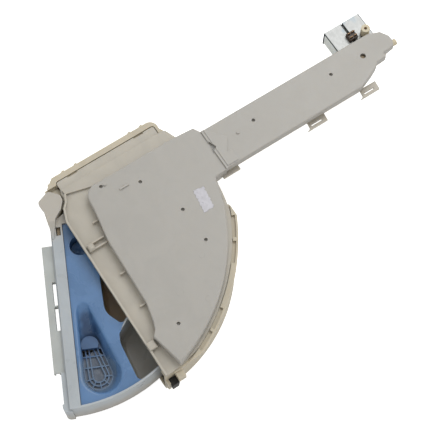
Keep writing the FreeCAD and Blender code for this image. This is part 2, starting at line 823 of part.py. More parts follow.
def distributor_cover():
    """Upper half of the water duct: a flat cover over the bay and the arm, with skirts."""
    ceiling = cover_top - cover_wall
    arm_ceiling = arm_top - cover_wall
    skirt = arm_ceiling - skirt_drop
    inner_left, inner_right = arm_left + cover_wall, arm_right - cover_wall
    bay = raise_face(cover_plan(0), roof_top, cover_top)
    bay = bay.makeFillet(cover_edge, [e for e in edges_at(bay, cover_top) if e.BoundBox.YMin < cover_back])
    bay = bay.cut(raise_face(cover_plan(cover_wall), roof_top, ceiling))
    bay = bay.cut(block(inner_left, inner_right, cover_back, arm_crease, roof_top, ceiling))
    arm = raise_face(arm_face(0), skirt, arm_top)
    arm = arm.makeFillet(cover_edge, edges_at(arm, arm_top))
    arm = arm.cut(raise_face(arm_face(cover_wall), skirt, arm_ceiling))
    arm = arm.cut(block(arm_left, arm_right, 0, arm_crease, skirt, arm_top))
    riser = block(arm_left, arm_right, arm_crease, arm_crease + cover_wall, ceiling, arm_top)
    cup = upright(screw_x, screw_y, screw_cup, screw_seat - cover_wall, arm_top)
    pits = [(x, y, cover_top) for x, y in cover_pits] + [(x, y, arm_top) for x, y in arm_pits]
    skins = [upright(x, y, pit_radius + pit_skin, z - pit_depth - pit_skin, z) for x, y, z in pits]
    cover = bay.multiFuse([arm, riser, cover_emboss(), cup] + skins)
    cuts = [upright(x, y, pit_radius, z - pit_depth, z + past) for x, y, z in pits]
    cuts.append(raise_face(polygon(crease_notch), cover_top - crease_notch_depth, arm_top + 2 * past))
    cuts.append(upright(screw_x, screw_y, screw_hole, screw_seat, arm_top + past))
    cuts.append(upright(screw_x, screw_y, screw_shank + screw_gap, roof_top, arm_top))
    cover = cover.cut(Part.makeCompound(cuts))
    rib_x, rib_y, rib_length = cover_rib
    nubs = [
        upright(*cover_peg, nub_radius, ceiling, cover_top + nub_height),
        upright(*arm_peg, nub_radius, arm_ceiling, arm_top + nub_height),
        block(rib_x, rib_x + rib_width, rib_y, rib_y + rib_length, ceiling, cover_top + nub_height),
    ]
    return cover.multiFuse(nubs).removeSplitter()


def cover_emboss():
    """Raised arrow-shaped field on the arm just behind the crease."""
    left, right, y = arm_left, arm_right - cover_wall, emboss_start
    notch_x = left + 2 * emboss_length
    outline = [
        (left, y),
        (left + 1.2 * emboss_length, y + emboss_length),
        (notch_x, y + 0.45 * emboss_length),
        (notch_x, y + 0.75 * emboss_length),
        (right, y + 0.75 * emboss_length),
        (right, y),
    ]
    return raise_face(polygon(outline), arm_top - cover_wall, arm_top + emboss_height)


def cover_screw():
    """Screw that holds the cover to the boss at the end of the arm."""
    head = upright(screw_x, screw_y, screw_head, screw_seat, screw_seat + screw_head_height)
    return head.fuse(upright(screw_x, screw_y, screw_shank, screw_seat - screw_length, screw_seat))


def turn_out(shape):
    """Drawer pieces are drawn closed and swung out about the hinge axis."""
    shape.rotate(Vector(0, 0, 0), Vector(0, 0, 1), -open_deg)
    return shape


def well_corners():
    """Front corners of the second well: where it leaves the wall between the wells, and its bend."""
    cusp_x, cusp_y = well_one_edge[-1]
    turn = math.radians(divider_turn_deg)
    back_off = (well_two_y - cusp_y) * math.cos(turn)
    start = (cusp_x + (divider + back_off) / math.sin(turn), well_two_y)
    return start, (well_two_bend_x, well_two_y)


def well_plans():
    """Plans of the two wells, running out past the drawer's walls."""
    far = 2 * tub_radius
    left = tray_left + tray_wall
    cusp = well_one_edge[-1]
    side_back = cusp[1] + (cusp[0] - left) * math.tan(math.pi - math.radians(divider_turn_deg))
    start, bend = well_corners()
    one = polygon([(left, well_one_side_y)] + well_one_edge + [(left, side_back)])
    right_end = ahead(bend, well_two_turn_deg, far)
    two = polygon([start, bend, right_end, (right_end[0], far), ahead(start, divider_turn_deg, far)])
    return one, two


def wells(top):
    """The two open wells behind the insert, as solids to be cut out."""
    low = tray_bottom + tray_floor
    radius = tray_radius - tray_wall
    bay = raise_face(bay_face(tray_left + tray_wall, radius, 0), low, top)
    one, two = (bay.common(raise_face(face, low, top)) for face in well_plans())
    start, bend = well_corners()
    for corner, fillet in zip(well_one_edge[1:], (well_round, well_fillet)):
        one = one.makeFillet(fillet, upright_edges(one, corner))
    right_end = meet_round(bend, well_two_turn_deg, radius)
    for corner, fillet in ((start, well_fillet), (bend, well_round), (right_end, well_fillet)):
        two = two.makeFillet(fillet, upright_edges(two, corner))
    return [well.makeFillet(well_foot_round, edges_at(well, low)) for well in (one, two)]


def front_field(front, radius, left):
    """Plan of the part of the drawer that the insert covers, out past the wells' edges."""
    start, bend = well_corners()
    back_y = well_one_edge[0][1] + insert_overlap
    edge = [(left, front - past), (left, back_y)]
    edge += [(x, y + insert_overlap) for x, y in well_one_edge[1:-1]]
    edge += [ahead(point, divider_turn_deg, insert_overlap) for point in (well_one_edge[-1], start)]
    over_bend = (bend[0], bend[1] + insert_overlap)
    far_end = ahead(over_bend, well_two_turn_deg, tub_radius)
    edge += [over_bend, far_end, (far_end[0], front - past)]
    return bay_face(tray_left, radius, front).common(polygon(edge)).Faces[0]


def softener_well(top):
    """Pocket under the insert, narrower than the insert by the ledge that it rests on."""
    low = tray_bottom + tray_floor
    radius = tray_radius - tray_wall - insert_ledge
    field = front_field(front_box_in + insert_ledge, radius, insert_left + insert_ledge)
    pocket = raise_face(field, low, top)
    for face in well_plans():
        pocket = pocket.cut(raise_face(face.makeOffset2D(divider, 2), low - past, top + past))
    return pocket


def drawer_tray():
    """White drawer: front box, round side wall, wells, siphon pipe and the two hinge lugs."""
    front = -front_box_out
    above = tray_rim + past
    body = raise_face(bay_face(tray_left, tray_radius, front), tray_bottom, tray_rim)
    body = body.cut(upright(0, 0, hinge_relief, tray_bottom - past, above))
    body = body.cut(block(tray_left - past, hinge_relief, front - past, 0, tray_bottom - past, above))
    body = body.cut(Part.makeCompound(wells(above)))
    body = body.cut(softener_well(above))
    rebate = front_field(front_box_in, tray_radius - tray_wall, insert_left - insert_gap)
    body = body.cut(raise_face(rebate, insert_under, above))
    body = body.cut(front_hollows())
    port_top = tray_bottom + tray_floor + flush_port_height
    for start, end in flush_ports_deg:
        inside, outside = tray_radius - 2 * tray_wall, tray_radius + past
        body = body.cut(ring(inside, outside, start, end, tray_bottom + tray_floor, port_top))
    body = body.multiFuse([front_plate_solid(), upper_lug(), lower_lug(), siphon_pipe()])
    body = body.cut(upright(siphon_x, siphon_y, siphon_bore, tray_bottom - past, tray_rim))
    body = body.cut(upright(0, 0, pin_radius + pin_clearance, 0, upper_lug_top - lug_roof))
    return turn_out(body.removeSplitter())


def front_hollows():
    """Hollows of the front box and of the corner behind the hinge, open below."""
    top = tray_rim - front_wall
    box_left = hinge_relief + front_wall
    box_right = tub_centre_x + tray_radius - 2 * tray_wall - insert_ledge
    box = block(box_left, box_right, front_wall - front_box_out, front_box_in - front_wall, tray_bottom, top)
    left = tray_left + tray_wall
    corner = block(left, insert_left - divider, front_box_in, well_one_side_y - divider, tray_bottom, top)
    corner = corner.cut(upright(0, 0, hinge_relief + tray_wall, tray_bottom, top))
    notch = block(*box_notch, top - past, tray_rim + past)
    return Part.makeCompound([box.fuse(notch), corner])


def front_plate_solid():
    """Plate across the drawer's front, with a step past the rail and a lip at its free end."""
    back = 0
    front = -front_box_out - front_plate
    right = tub_centre_x + tray_radius + front_plate_over
    low, high = tray_bottom - front_plate_below, tray_rim - front_plate_drop
    plate = block(hinge_relief, right, front, back, low, high)
    lip = block(right - front_lip_width, right, front - front_lip, back, low, high)
    lip = lip.makeFillet(front_lip_round, upright_edges(lip, (right, front - front_lip)))
    lip = lip.cut(front_lip_hollow(right, front, low, high))
    step_left, lip_left = rail_to + front_step_gap, right - front_lip_width
    step = block(step_left, lip_left + front_plate, front - rail_gap, front, low, high)
    inside = (front - rail_gap + front_plate, front, low, high - front_plate)
    step = step.cut(block(step_left + front_plate, lip_left, *inside))
    return plate.multiFuse([lip, step])


def front_lip_hollow(right, front, low, high):
    """Space inside the lip at the free end of the plate, open below."""
    left = right - front_lip_width + front_plate
    inside = block(left, right - front_plate, front - front_lip + front_plate, 0, low, high - front_plate)
    corner = (right - front_plate, front - front_lip + front_plate)
    return inside.makeFillet(front_lip_round - front_plate, upright_edges(inside, corner))


def upper_lug():
    """Kite-shaped upper hinge lug with a waist and a neck that slopes down onto the front box."""
    low = tray_rim - past
    foot_x = hinge_relief + past
    reach = upper_lug_sweep
    tip_front = -front_box_out
    corners = [on_circle(0, 0, reach, angle) for angle in upper_lug_corners_deg]
    waist = [upper_waist_back, upper_waist_front]
    tip = [(upper_neck_length, tip_front + upper_neck_tip), (upper_neck_length, tip_front)]
    plan = raise_face(polygon(corners + waist[:1] + tip + waist[1:]), low, upper_lug_top)
    for corner in corners + waist:
        plan = plan.makeFillet(upper_lug_round, upright_edges(plan, corner))
    side = polygon(
        [
            (-reach, upper_lug_z),
            (foot_x, upper_lug_z),
            (foot_x, low),
            (upper_neck_length, low),
            (upper_neck_length, tray_rim + past),
            (upper_neck_length - upper_neck_slope, upper_lug_top),
            (-reach, upper_lug_top),
        ]
    )
    side.rotate(Vector(0, 0, 0), Vector(1, 0, 0), 90)
    side.translate(Vector(0, 2 * reach, 0))
    return plan.common(side.extrude(Vector(0, -4 * reach, 0)))


def lower_lug():
    """Lower hinge lug under the front box, carried in the slot of the tub's column."""
    half = lower_neck_width / 2
    front, back = -front_box_out, front_wall
    lug = upright(0, 0, column_radius, lower_lug_z, tray_bottom)
    plan = polygon([(0, -half), (lower_neck_length, front), (lower_neck_length, back), (0, half)])
    neck = raise_face(plan, lower_lug_z, tray_bottom)
    foot_x = hinge_relief + front_wall
    foot = block(foot_x, lower_neck_length, front, back, tray_bottom - past, tray_bottom + past)
    return lug.multiFuse([neck, foot])


def siphon_pipe():
    return upright(siphon_x, siphon_y, siphon_pipe_radius, tray_bottom, recess_floor_z - siphon_foot)


def recess_loft(grow, deeper):
    """Solid of the teardrop recess, from its mouth down to its floor."""
    top = teardrop(*recess_mouth, grow, insert_top)
    floor = teardrop(*recess_floor, grow, recess_floor_z - deeper)
    return Part.makeLoft([top, floor], True, True)


def on_mouth(edge):
    """Whether an edge of the insert's top face belongs to the mouth of the recess."""
    mouth = teardrop(*recess_mouth, 0, insert_top)
    middle = edge.valueAt((edge.FirstParameter + edge.LastParameter) / 2)
    return mouth.distToShape(Part.Vertex(middle))[0] < 1e-4


def floor_teardrop(grow, low, high):
    return raise_face(Part.Face(teardrop(*recess_floor, grow, 0)), low, high)


def floor_grille():
    """Bars of the strainer in the recess floor: nested loops and ribs across them."""
    low, high = recess_floor_z - recess_skin, recess_floor_z
    bars = []
    for loop in (1, 2):
        outer = floor_teardrop(-loop * grille_pitch, low, high)
        bars.append(outer.cut(floor_teardrop(-loop * grille_pitch - grille_bar, low - past, high + past)))
    (wx, wy, radius), (nx, ny, _) = recess_floor
    inner_end = radius - 2 * grille_pitch - grille_bar
    for angle in grille_rib_deg:
        ends = [on_circle(wx, wy, inner_end, angle), on_circle(wx, wy, radius, angle)]
        bars.append(wall_along(ends, grille_bar, low, high))
    for share in grille_cross:
        mx, my = nx + (wx - nx) * share, ny + (wy - ny) * share
        bars.append(wall_along([(mx, my - radius), (mx, my + radius)], grille_bar, low, high))
    return bars[0].multiFuse(bars[1:])


def drawer_insert():
    """Blue insert: a plate with a teardrop recess, its strainer, siphon cap and finger hole."""
    field = front_field(front_box_in + insert_gap, tray_radius - tray_wall - insert_gap, insert_left)
    plate = raise_face(field, insert_under, insert_top)
    plate = plate.cut(Part.makeCompound(wells(tray_rim)))
    skirt_foot = tray_bottom + tray_floor + siphon_foot
    skirt = upright(siphon_x, siphon_y, siphon_skirt_radius, skirt_foot, insert_under)
    plate = plate.multiFuse([recess_loft(recess_skin, recess_skin), skirt])
    plate = plate.cut(recess_loft(0, 0))
    mouth = [e for e in edges_at(plate, insert_top) if on_mouth(e)]
    plate = plate.makeFillet(recess_mouth_round, mouth)
    bore_top = recess_floor_z - recess_skin
    plate = plate.cut(upright(siphon_x, siphon_y, siphon_skirt_bore, skirt_foot, bore_top))
    nx, ny, narrow = recess_floor[1]
    low = recess_floor_z - recess_skin
    cap_x = nx + cap_front
    ahead_of_cap = block(cap_x, cap_x + tub_radius, 0, tub_radius, low, recess_floor_z)
    opening = floor_teardrop(-grille_margin, low, recess_floor_z).common(ahead_of_cap)
    plate = plate.cut(opening).fuse(floor_grille().common(opening))
    hx, hy, hole = finger_hole
    plate = plate.fuse(upright(hx, hy, hole + finger_skin, insert_top - finger_collar, insert_top))
    plate = plate.cut(upright(hx, hy, hole, insert_top - finger_collar, insert_top))
    cap = upright(nx, ny, narrow - cap_margin, recess_floor_z, recess_floor_z + cap_height)
    cap = cap.cut(block(cap_x, nx + narrow, ny - narrow, ny + narrow, recess_floor_z, insert_top))
    return turn_out(plate.fuse(cap).removeSplitter())


def front_rail():
    """Carrier rail for the decorative front, held off the drawer by a web with two windows."""
    plate_face = -front_box_out - front_plate
    inner = plate_face - rail_gap
    outer = inner - rail_width
    top = tray_rim - front_plate_drop - rail_drop
    low = top - rail_height
    under = top - rail_wall
    shell = block(rail_from, rail_to, outer, inner, low, top)
    shell = shell.cut(block(rail_from, rail_to, outer + rail_wall, inner - rail_wall, low, under))
    web = block(rail_from, rail_to, inner, plate_face, under, top)
    windows = [block(start, end, inner, plate_face, under, top) for start, end in rail_windows]
    web = web.cut(Part.makeCompound(windows))
    ribs = [block(x, x + rail_wall, outer + rail_wall / 2, plate_face, low, top) for x in rail_ribs]
    return turn_out(shell.multiFuse([web] + ribs).removeSplitter())


def valve_body():
    """Plastic valve body: inlet below, two chambers at the left, two outlets on top."""
    front = coil_centres_y[0] - coil_width / 2 - valve_margin
    back = coil_centres_y[-1] + coil_width / 2 + valve_margin
    body = block(valve_left, valve_right, front, back, valve_bottom, roof_z)
    corners = [(x, y) for x in (valve_left, valve_right) for y in (front, back)]
    body = body.makeFillet(valve_fillet, [e for corner in corners for e in upright_edges(body, corner)])
    body = body.fuse(upright(inlet_x, valve_middle_y, inlet_radius, inlet_low, valve_bottom))
    collar_top = valve_bottom - collar_drop
    collar_low = collar_top - collar_height
    body = body.fuse(upright(inlet_x, valve_middle_y, inlet_radius + collar_width, collar_low, collar_top))
    outlet_top = roof_z + outlet_rise
    for y in coil_centres_y:
        body = body.fuse(upright(outlet_x, y + outlet_shift, outlet_radius, roof_z - past, outlet_top))
    cuts = [upright(inlet_x, valve_middle_y, inlet_bore, inlet_low, valve_bottom + gallery_rise)]
    chamber_end = valve_left + chamber_depth
    for y in coil_centres_y:
        cuts.append(along_x(y, coil_axis_z, diaphragm_radius + chamber_gap, valve_left, chamber_end))
        cuts.append(upright(outlet_x, y + outlet_shift, outlet_bore, coil_axis_z, outlet_top))
    gallery_z = valve_bottom + gallery_rise
    gallery_x = inlet_x - gallery_rise
    cuts.append(along_y(gallery_x, gallery_z, gallery_bore, coil_centres_y[0], coil_centres_y[-1]))
    for cut in cuts:
        body = body.cut(cut)
    return body.removeSplitter()


def inlet_filter():
    """Cup-shaped sieve in the valve's inlet."""
    low = inlet_low + filter_lift
    radius = inlet_bore - pin_clearance
    sleeve = radius - filter_brim
    cup = upright(inlet_x, valve_middle_y, radius, low, low + filter_brim)
    cup = cup.fuse(upright(inlet_x, valve_middle_y, sleeve, low, low + filter_length))
    hollow_top = low + filter_length - filter_wall
    cup = cup.cut(upright(inlet_x, valve_middle_y, sleeve - filter_wall, low, hollow_top))
    slots = []
    half = filter_slot / 2
    for step in range(filter_slots):
        slot = block(-radius, radius, -half, half, low + 2 * filter_brim, hollow_top - past)
        slot.rotate(Vector(0, 0, 0), Vector(0, 0, 1), 180 * step / filter_slots)
        slot.translate(Vector(inlet_x, valve_middle_y, 0))
        slots.append(slot)
    return cup.cut(slots[0].multiFuse(slots[1:]))


def flow_regulator():
    """Rubber washer on top of the sieve that evens out the supply pressure."""
    low = inlet_low + filter_lift + filter_length + pin_clearance
    washer = upright(inlet_x, valve_middle_y, inlet_bore - pin_clearance, low, low + regulator_thick)
    return washer.cut(upright(inlet_x, valve_middle_y, regulator_bore, low, low + regulator_thick))


def coil(y):
    """Moulded coil round the guide tube."""
    low, high = coil_axis_z - coil_half, coil_axis_z + coil_half
    body = block(coil_left, coil_right, y - coil_half, y + coil_half, low, high)
    body = body.makeFillet(coil_round, [e for e in body.Edges if e.BoundBox.XLength > coil_half])
    return body.cut(along_x(y, coil_axis_z, tube_radius + pin_clearance, coil_left, coil_right))


def yoke(y):
    """Plated steel yoke folded over the coil: a top web and two end plates."""
    half = coil_width / 2 - yoke_side_gap
    right = coil_right + yoke_clear + yoke_thick
    outside = block(yoke_left, right, y - half, y + half, yoke_low, yoke_top)
    web_under = yoke_top - yoke_thick
    inside = block(yoke_left + yoke_thick, right - yoke_thick, y - half, y + half, yoke_low, web_under)
    hole = along_x(y, coil_axis_z, tube_radius + pin_clearance, yoke_left, right)
    return outside.cut(inside).cut(hole)


def guide_tube(y):
    """Closed tube that the plunger runs in, with a flange that holds the diaphragm down."""
    right = valve_left + tube_seat
    tube = along_x(y, coil_axis_z, tube_radius, yoke_left, right)
    tube = tube.fuse(along_x(y, coil_axis_z, diaphragm_radius, right - tube_flange, right))
    return tube.cut(along_x(y, coil_axis_z, tube_radius - tube_wall, yoke_left + tube_wall, right))


def plunger(y):
    """Iron plunger, down on its seat."""
    right = valve_left + tube_seat
    return along_x(y, coil_axis_z, tube_radius - tube_wall - plunger_gap, right - plunger_length, right)


def plunger_spring(y):
    """Return spring between the plunger and the closed end of the tube, as its outer sleeve."""
    left = yoke_left + tube_wall
    right = valve_left + tube_seat - plunger_length
    outer = tube_radius - tube_wall - spring_gap
    sleeve = along_x(y, coil_axis_z, outer, left, right)
    return sleeve.cut(along_x(y, coil_axis_z, outer - spring_wire, left, right))


def diaphragm(y):
    """Rubber diaphragm with the thick middle that closes the seat."""
    left = valve_left + tube_seat + pin_clearance
    disc = along_x(y, coil_axis_z, diaphragm_radius, left, left + diaphragm_thick)
    return disc.fuse(along_x(y, coil_axis_z, diaphragm_radius / 2, left, left + 2 * diaphragm_thick))


def outlet_seal(y):
    """Square-section ring round the valve's outlet, on the duct's floor."""
    inner = outlet_radius + seal_gap
    top = roof_top + seal_width
    ring_solid = upright(outlet_x, y + outlet_shift, inner + seal_width, roof_top, top)
    return ring_solid.cut(upright(outlet_x, y + outlet_shift, inner, roof_top, top))


def coil_connector():
    """Dark plug block on top of the two coils that carries their terminals."""
    right = valve_left - connector_inset
    half = connector_width / 2
    top = yoke_top + connector_height
    body = block(right - connector_length, right, valve_middle_y - half, valve_middle_y + half, yoke_top, top)
    above = yoke_top + connector_round
    return body.makeFillet(connector_round, [e for e in body.Edges if e.CenterOfMass.z > above])


def coil_terminals():
    """Four spade terminals that stand in the plug block."""
    low = yoke_top + connector_height
    middle_x = valve_left - connector_inset - connector_length / 2
    tabs = []
    for x in (middle_x - connector_length / 4, middle_x + connector_length / 4):
        for y in (valve_middle_y - connector_width / 4, valve_middle_y + connector_width / 4):
            left, front = x - terminal_thick / 2, y - terminal_width / 2
            right, back = left + terminal_thick, front + terminal_width
            tabs.append(block(left, right, front, back, low, low + terminal_reach))
    return Part.makeCompound(tabs)


def main():
    os.makedirs("parts", exist_ok=True)
    pieces = {
        "housing_tub": housing_tub(),
        "distributor_plate": distributor_plate(),
        "distributor_cover": distributor_cover(),
        "cover_screw": cover_screw(),
        "hinge_pin": hinge_pin(),
        "drawer_catch": drawer_catch(),
        "drawer_tray": drawer_tray(),
        "drawer_insert": drawer_insert(),
        "front_rail": front_rail(),
        "valve_body": valve_body(),
        "inlet_filter": inlet_filter(),
        "flow_regulator": flow_regulator(),
        "coil_connector": coil_connector(),
        "coil_terminals": coil_terminals(),
    }
    makers = (coil, yoke, guide_tube, plunger, plunger_spring, diaphragm, outlet_seal)
    for end, y in zip(("front", "rear"), coil_centres_y):
        for make in makers:
            pieces[f"{make.__name__}_{end}"] = make(y)
    for name, shape in pieces.items():
        shape.exportStep(f"parts/{name}.step")
        box = shape.BoundBox
        corners = [round(v, 1) for v in (box.XMin, box.XMax, box.YMin, box.YMax, box.ZMin, box.ZMax)]
        print(name, len(shape.Solids), "solids, valid", shape.isValid(), round(shape.Volume), "mm3", corners)


main()
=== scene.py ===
"""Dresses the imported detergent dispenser: finishes for every moulded, folded and turned piece,
the dried softener and small floors seen through openings, the paper sticker on the cover, the return
springs in the valve, and a plain studio stage.

Lengths are in metres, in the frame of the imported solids: +Z up, -Y the machine's front.
"""

import math

import bpy
import numpy as np
from bpy.props import FloatProperty, FloatVectorProperty, PointerProperty
from mathutils import Matrix, Vector


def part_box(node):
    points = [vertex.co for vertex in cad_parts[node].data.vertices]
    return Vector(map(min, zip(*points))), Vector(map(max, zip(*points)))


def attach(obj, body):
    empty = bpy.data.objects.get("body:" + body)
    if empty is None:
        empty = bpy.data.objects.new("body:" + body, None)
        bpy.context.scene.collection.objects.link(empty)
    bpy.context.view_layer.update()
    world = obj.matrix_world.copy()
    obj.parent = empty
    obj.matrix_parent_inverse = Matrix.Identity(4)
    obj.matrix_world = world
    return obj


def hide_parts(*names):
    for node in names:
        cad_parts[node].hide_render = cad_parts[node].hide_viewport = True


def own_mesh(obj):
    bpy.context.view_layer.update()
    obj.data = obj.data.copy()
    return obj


bl_info = {
    "name": "Detergent dispenser dressing",
    "version": (1, 0, 0),
    "blender": (4, 5, 0),
    "location": "View3D > Sidebar > Dispenser",
    "description": "Finishes, sticker, springs and stage for a swing-out detergent dispenser",
    "category": "Object",
}

# Places in plan that finishes and small pieces are centred on
HINGE = (0.0, 0.0, 0.0)
ARM_EAR = (0.015, 0.379, 0.0)
ARM_PEG = (0.041, 0.401, 0.0)
STRAINER = (0.1718, -0.0492, 0.0)
TROUGH_HEAD = (0.1178, -0.0312, 0.0)
TROUGH = (0.1294, -0.0349, 0.0)
SIPHON_CAP = (0.1418, -0.0412, 0.0)
INSERT_END = (0.040, 0.001, 0.0)
PREWASH_FLOOR = (0.105, 0.008, 0.0)
SOFTENER_FILM = (0.16845, -0.0481)
FINGER_CUP = (0.05155, 0.00288)

# Middles and radii of the ejector marks on the cover
EJECTOR_MARKS = (
    (0.1335, 0.0968, 0.0029),
    (0.1541, 0.0581, 0.0038),
    (0.1347, 0.0427, 0.0024),
    (0.1748, 0.0783, 0.0029),
)

# Corners in plan of the small four-sided sheets
STICKER_CORNERS = ((0.0712, 0.1264), (0.0974, 0.1233), (0.0967, 0.1350), (0.0729, 0.1379))
NOTCH_CORNERS = ((0.02257, -0.00721), (0.03163, -0.01144), (0.03307, -0.00836), (0.02400, -0.00413))
CREASE_CORNERS = ((0.0386, 0.1699), (0.0469, 0.1669), (0.0432, 0.1746), (0.0376, 0.1726))

# Heights of the small pieces
STICKER_LEVEL = 0.06852
NOTCH_LEVEL = 0.0455
CREASE_LEVEL = 0.06735
FILM_LEVEL = 0.0283
CUP_LEVEL = 0.0325
LEDGE_LEVEL = 0.05045

# Half lengths of the dried softener along and across the strainer, its turn, and the cup's radius
FILM_REACH = (0.0215, 0.0146)
FILM_TURN = math.radians(-14.87)
CUP_REACH = (0.01005, 0.01005)

# Ledge about the hinge: its first and last angle, its inner radius, its front edge, and how far it
# reaches to the side, to the rear and outwards
LEDGE_TURN = (math.radians(40.0), math.radians(155.0))
LEDGE_INNER = 0.00905
LEDGE_FRONT = 0.0051
LEDGE_REACH = (0.0125, 0.0165, 0.0190)

# Rows and columns of the grids
STICKER_GRID = (49, 97)
NOTCH_GRID = (13, 25)
CREASE_GRID = (9, 17)
LEDGE_GRID = (7, 49)
FILM_GRID = (41, 41)

# First yoke's middle, the pitch of the two and half a yoke's width, along Y
YOKE_CUTS = (0.354, 0.023, 0.0099)

SPRING_TURNS = 9

# Floor of the studio: half its width, its level and its rows
FLOOR_REACH = 4.0
FLOOR_LEVEL = -0.0002
FLOOR_ROWS = 9

# Lamps: the point that they face, their places and their width
LIT_POINT = (0.1, 0.13, 0.05)
KEY_PLACE = (-0.42, 1.02, 1.85)
FILL_PLACE = (1.6, -1.2, 0.9)
LAMP_WIDTH = 1.2

SENSOR_WIDTH = 36.0
CLIP_END = 20.0

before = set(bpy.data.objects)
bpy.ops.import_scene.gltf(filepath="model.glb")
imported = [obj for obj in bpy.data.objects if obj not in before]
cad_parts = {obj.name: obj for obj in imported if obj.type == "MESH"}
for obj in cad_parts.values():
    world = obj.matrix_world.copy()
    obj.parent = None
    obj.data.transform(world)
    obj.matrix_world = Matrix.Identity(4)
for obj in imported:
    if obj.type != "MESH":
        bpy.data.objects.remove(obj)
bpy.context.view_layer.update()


def colour(label, text, rgb):
    """A colour swatch property, in linear light."""
    return FloatVectorProperty(
        name=label, description=text, default=rgb, subtype="COLOR", size=3, min=0.0, max=1.0
    )


def length(label, text, default):
    return FloatProperty(name=label, description=text, default=default, unit="LENGTH", precision=5)


def angle(label, text, degrees):
    return FloatProperty(name=label, description=text, default=math.radians(degrees), subtype="ANGLE")


class DispenserColours(bpy.types.PropertyGroup):
    """Base colours of the finishes, in linear light."""

    tub_cream: colour("Tub cream", "Lower housing and its flange", (0.565, 0.508, 0.392))
    plate_cream: colour("Plate cream", "Roof of the bay and lower half of the arm", (0.508, 0.475, 0.408))
    cover_grey: colour("Cover grey", "Cover over the bay and the arm", (0.436, 0.420, 0.386))
    drawer_white: colour("Drawer white", "Drawer moulding", (0.460, 0.498, 0.524))
    insert_blue: colour("Insert blue", "Softener insert", (0.112, 0.227, 0.428))
    rail_grey: colour("Rail grey", "Rail along the drawer's front", (0.490, 0.515, 0.500))
    catch_black: colour("Catch black", "Drawer catch", (0.004, 0.004, 0.004))
    valve_white: colour("Valve white", "Valve body and sieve", (0.640, 0.610, 0.525))
    coil_white: colour("Coil white", "Moulded coils", (0.690, 0.730, 0.705))
    yoke_zinc: colour("Zinc", "Plated yokes", (0.385, 0.392, 0.386))
    zinc_blue: colour("Blue zinc", "Bluish clouds in the plating", (0.205, 0.275, 0.325))
    # Bare cut edges of the yokes, darkened as a painted dark reflection
    sheared_steel_and_dark_reflection: colour("Sheared steel", "Bare cut edges of the yokes", (0.030, 0.036, 0.036))
    bright_steel: colour("Bright steel", "Guide tubes, pin and springs", (0.620, 0.610, 0.590))
    dark_steel: colour("Dark steel", "Cover screw", (0.130, 0.105, 0.075))
    plunger_iron: colour("Plunger iron", "Plungers", (0.330, 0.325, 0.320))
    brass: colour("Brass", "Terminals", (0.150, 0.095, 0.055))
    connector_brown: colour("Connector brown", "Plug block on the coils", (0.045, 0.026, 0.016))
    rubber: colour("Rubber", "Diaphragms, seals and washer", (0.020, 0.020, 0.021))
    paper: colour("Paper", "Sticker on the cover", (0.600, 0.590, 0.630))
    # Colour of the darker film towards the bottom of the wells: dried detergent with painted shade
    residue: colour("Residue", "Dried detergent in the wells", (0.430, 0.375, 0.290))
    # Brown staining of the prewash well, made lighter as painted light against the well's shade
    stain: colour("Stain", "Brown stain in the prewash well", (0.520, 0.370, 0.215))
    # Brown of a sheet of painted shade in the gap under the drawer's notch
    notch_shade_brown: colour("Notch brown", "Stained floor under the drawer's notch", (0.330, 0.245, 0.150))
    aged_cream: colour("Aged cream", "Yellowed ear and peg of the arm", (0.640, 0.565, 0.400))
    aged_white: colour("Aged white", "Yellowed end of the drawer at the hinge", (0.500, 0.462, 0.398))
    # Painted shade of the insert's recess and of its end under the roof
    recess_shade_blue: colour("Wet blue", "Softener left in the recess", (0.026, 0.062, 0.140))
    worn_blue: colour("Worn blue", "Bars of the strainer under dried softener", (0.170, 0.245, 0.345))
    film: colour("Film", "Dried softener under the strainer", (0.152, 0.182, 0.230))
    # Colour of dirt and painted shade in corners and between parts
    grime_and_shade: colour("Grime", "Dirt in corners", (0.110, 0.085, 0.060))
    dust: colour("Dust", "Dust on upward faces", (0.520, 0.500, 0.460))
    floor: colour("Floor", "Studio floor", (0.930, 0.930, 0.930))


class DispenserSizes(bpy.types.PropertyGroup):
    """Sizes of the details that the scene adds to the solids."""

    grain: length("Grain", "Size of the moulded grain", 0.0009)
    cloud: length("Cloud", "Size of the uneven tone in the plastic", 0.030)
    edge: length("Edge", "Rounding of moulded edges", 0.0004)
    # Width of the lighter band along edges: rubbed wear and painted edge highlight
    rub_and_highlight: length("Edge rub", "Width of the rubbed band along edges", 0.0007)
    glow: length("Glow", "Reach of the light inside the plastic", 0.004)
    # Reach of the dirt and painted shade out of corners
    crevice: length("Crevice", "Reach of the dirt out of corners", 0.005)
    sticker_thick: length("Sticker thickness", "Thickness of the paper sticker", 0.00012)
    sticker_curl: length("Sticker curl", "Rise of the sticker's corners", 0.0005)
    ledge_thick: length("Ledge thickness", "Thickness of the ledges", 0.0010)
    film_thick: length("Film thickness", "Thickness of the dried softener", 0.0003)
    film_sag: length("Film sag", "Sag of the dried softener below the strainer", 0.0008)
    spring_wire: length("Spring wire", "Wire radius of the return springs", 0.0004)
    spring_coil: length("Spring coil", "Middle radius of the return springs", 0.0033)


class DispenserStage(bpy.types.PropertyGroup):
    """Camera and light of the studio."""

    target: FloatVectorProperty(
        name="Target",
        description="Point that the camera looks at",
        default=(0.10492, 0.13090, 0.068),
        subtype="TRANSLATION",
        size=3,
    )
    distance: length("Distance", "Camera distance from the target", 1.3)
    azimuth: angle("Azimuth", "Camera turn from the front", 57.0)
    elevation: angle("Elevation", "Camera height angle", 69.5)
    view_width: length("View width", "Width of the frame at the target", 0.430)
    sky: FloatProperty(name="Sky", description="Strength of the even light", default=0.62, min=0.0)
    key: FloatProperty(name="Key", description="Power of the overhead soft light", default=16.0, min=0.0)
    fill: FloatProperty(name="Fill", description="Power of the low soft light", default=1.2, min=0.0)
    floor_glow: FloatProperty(
        name="Floor glow", description="Lift of the floor to a white ground", default=0.85, min=0.0
    )


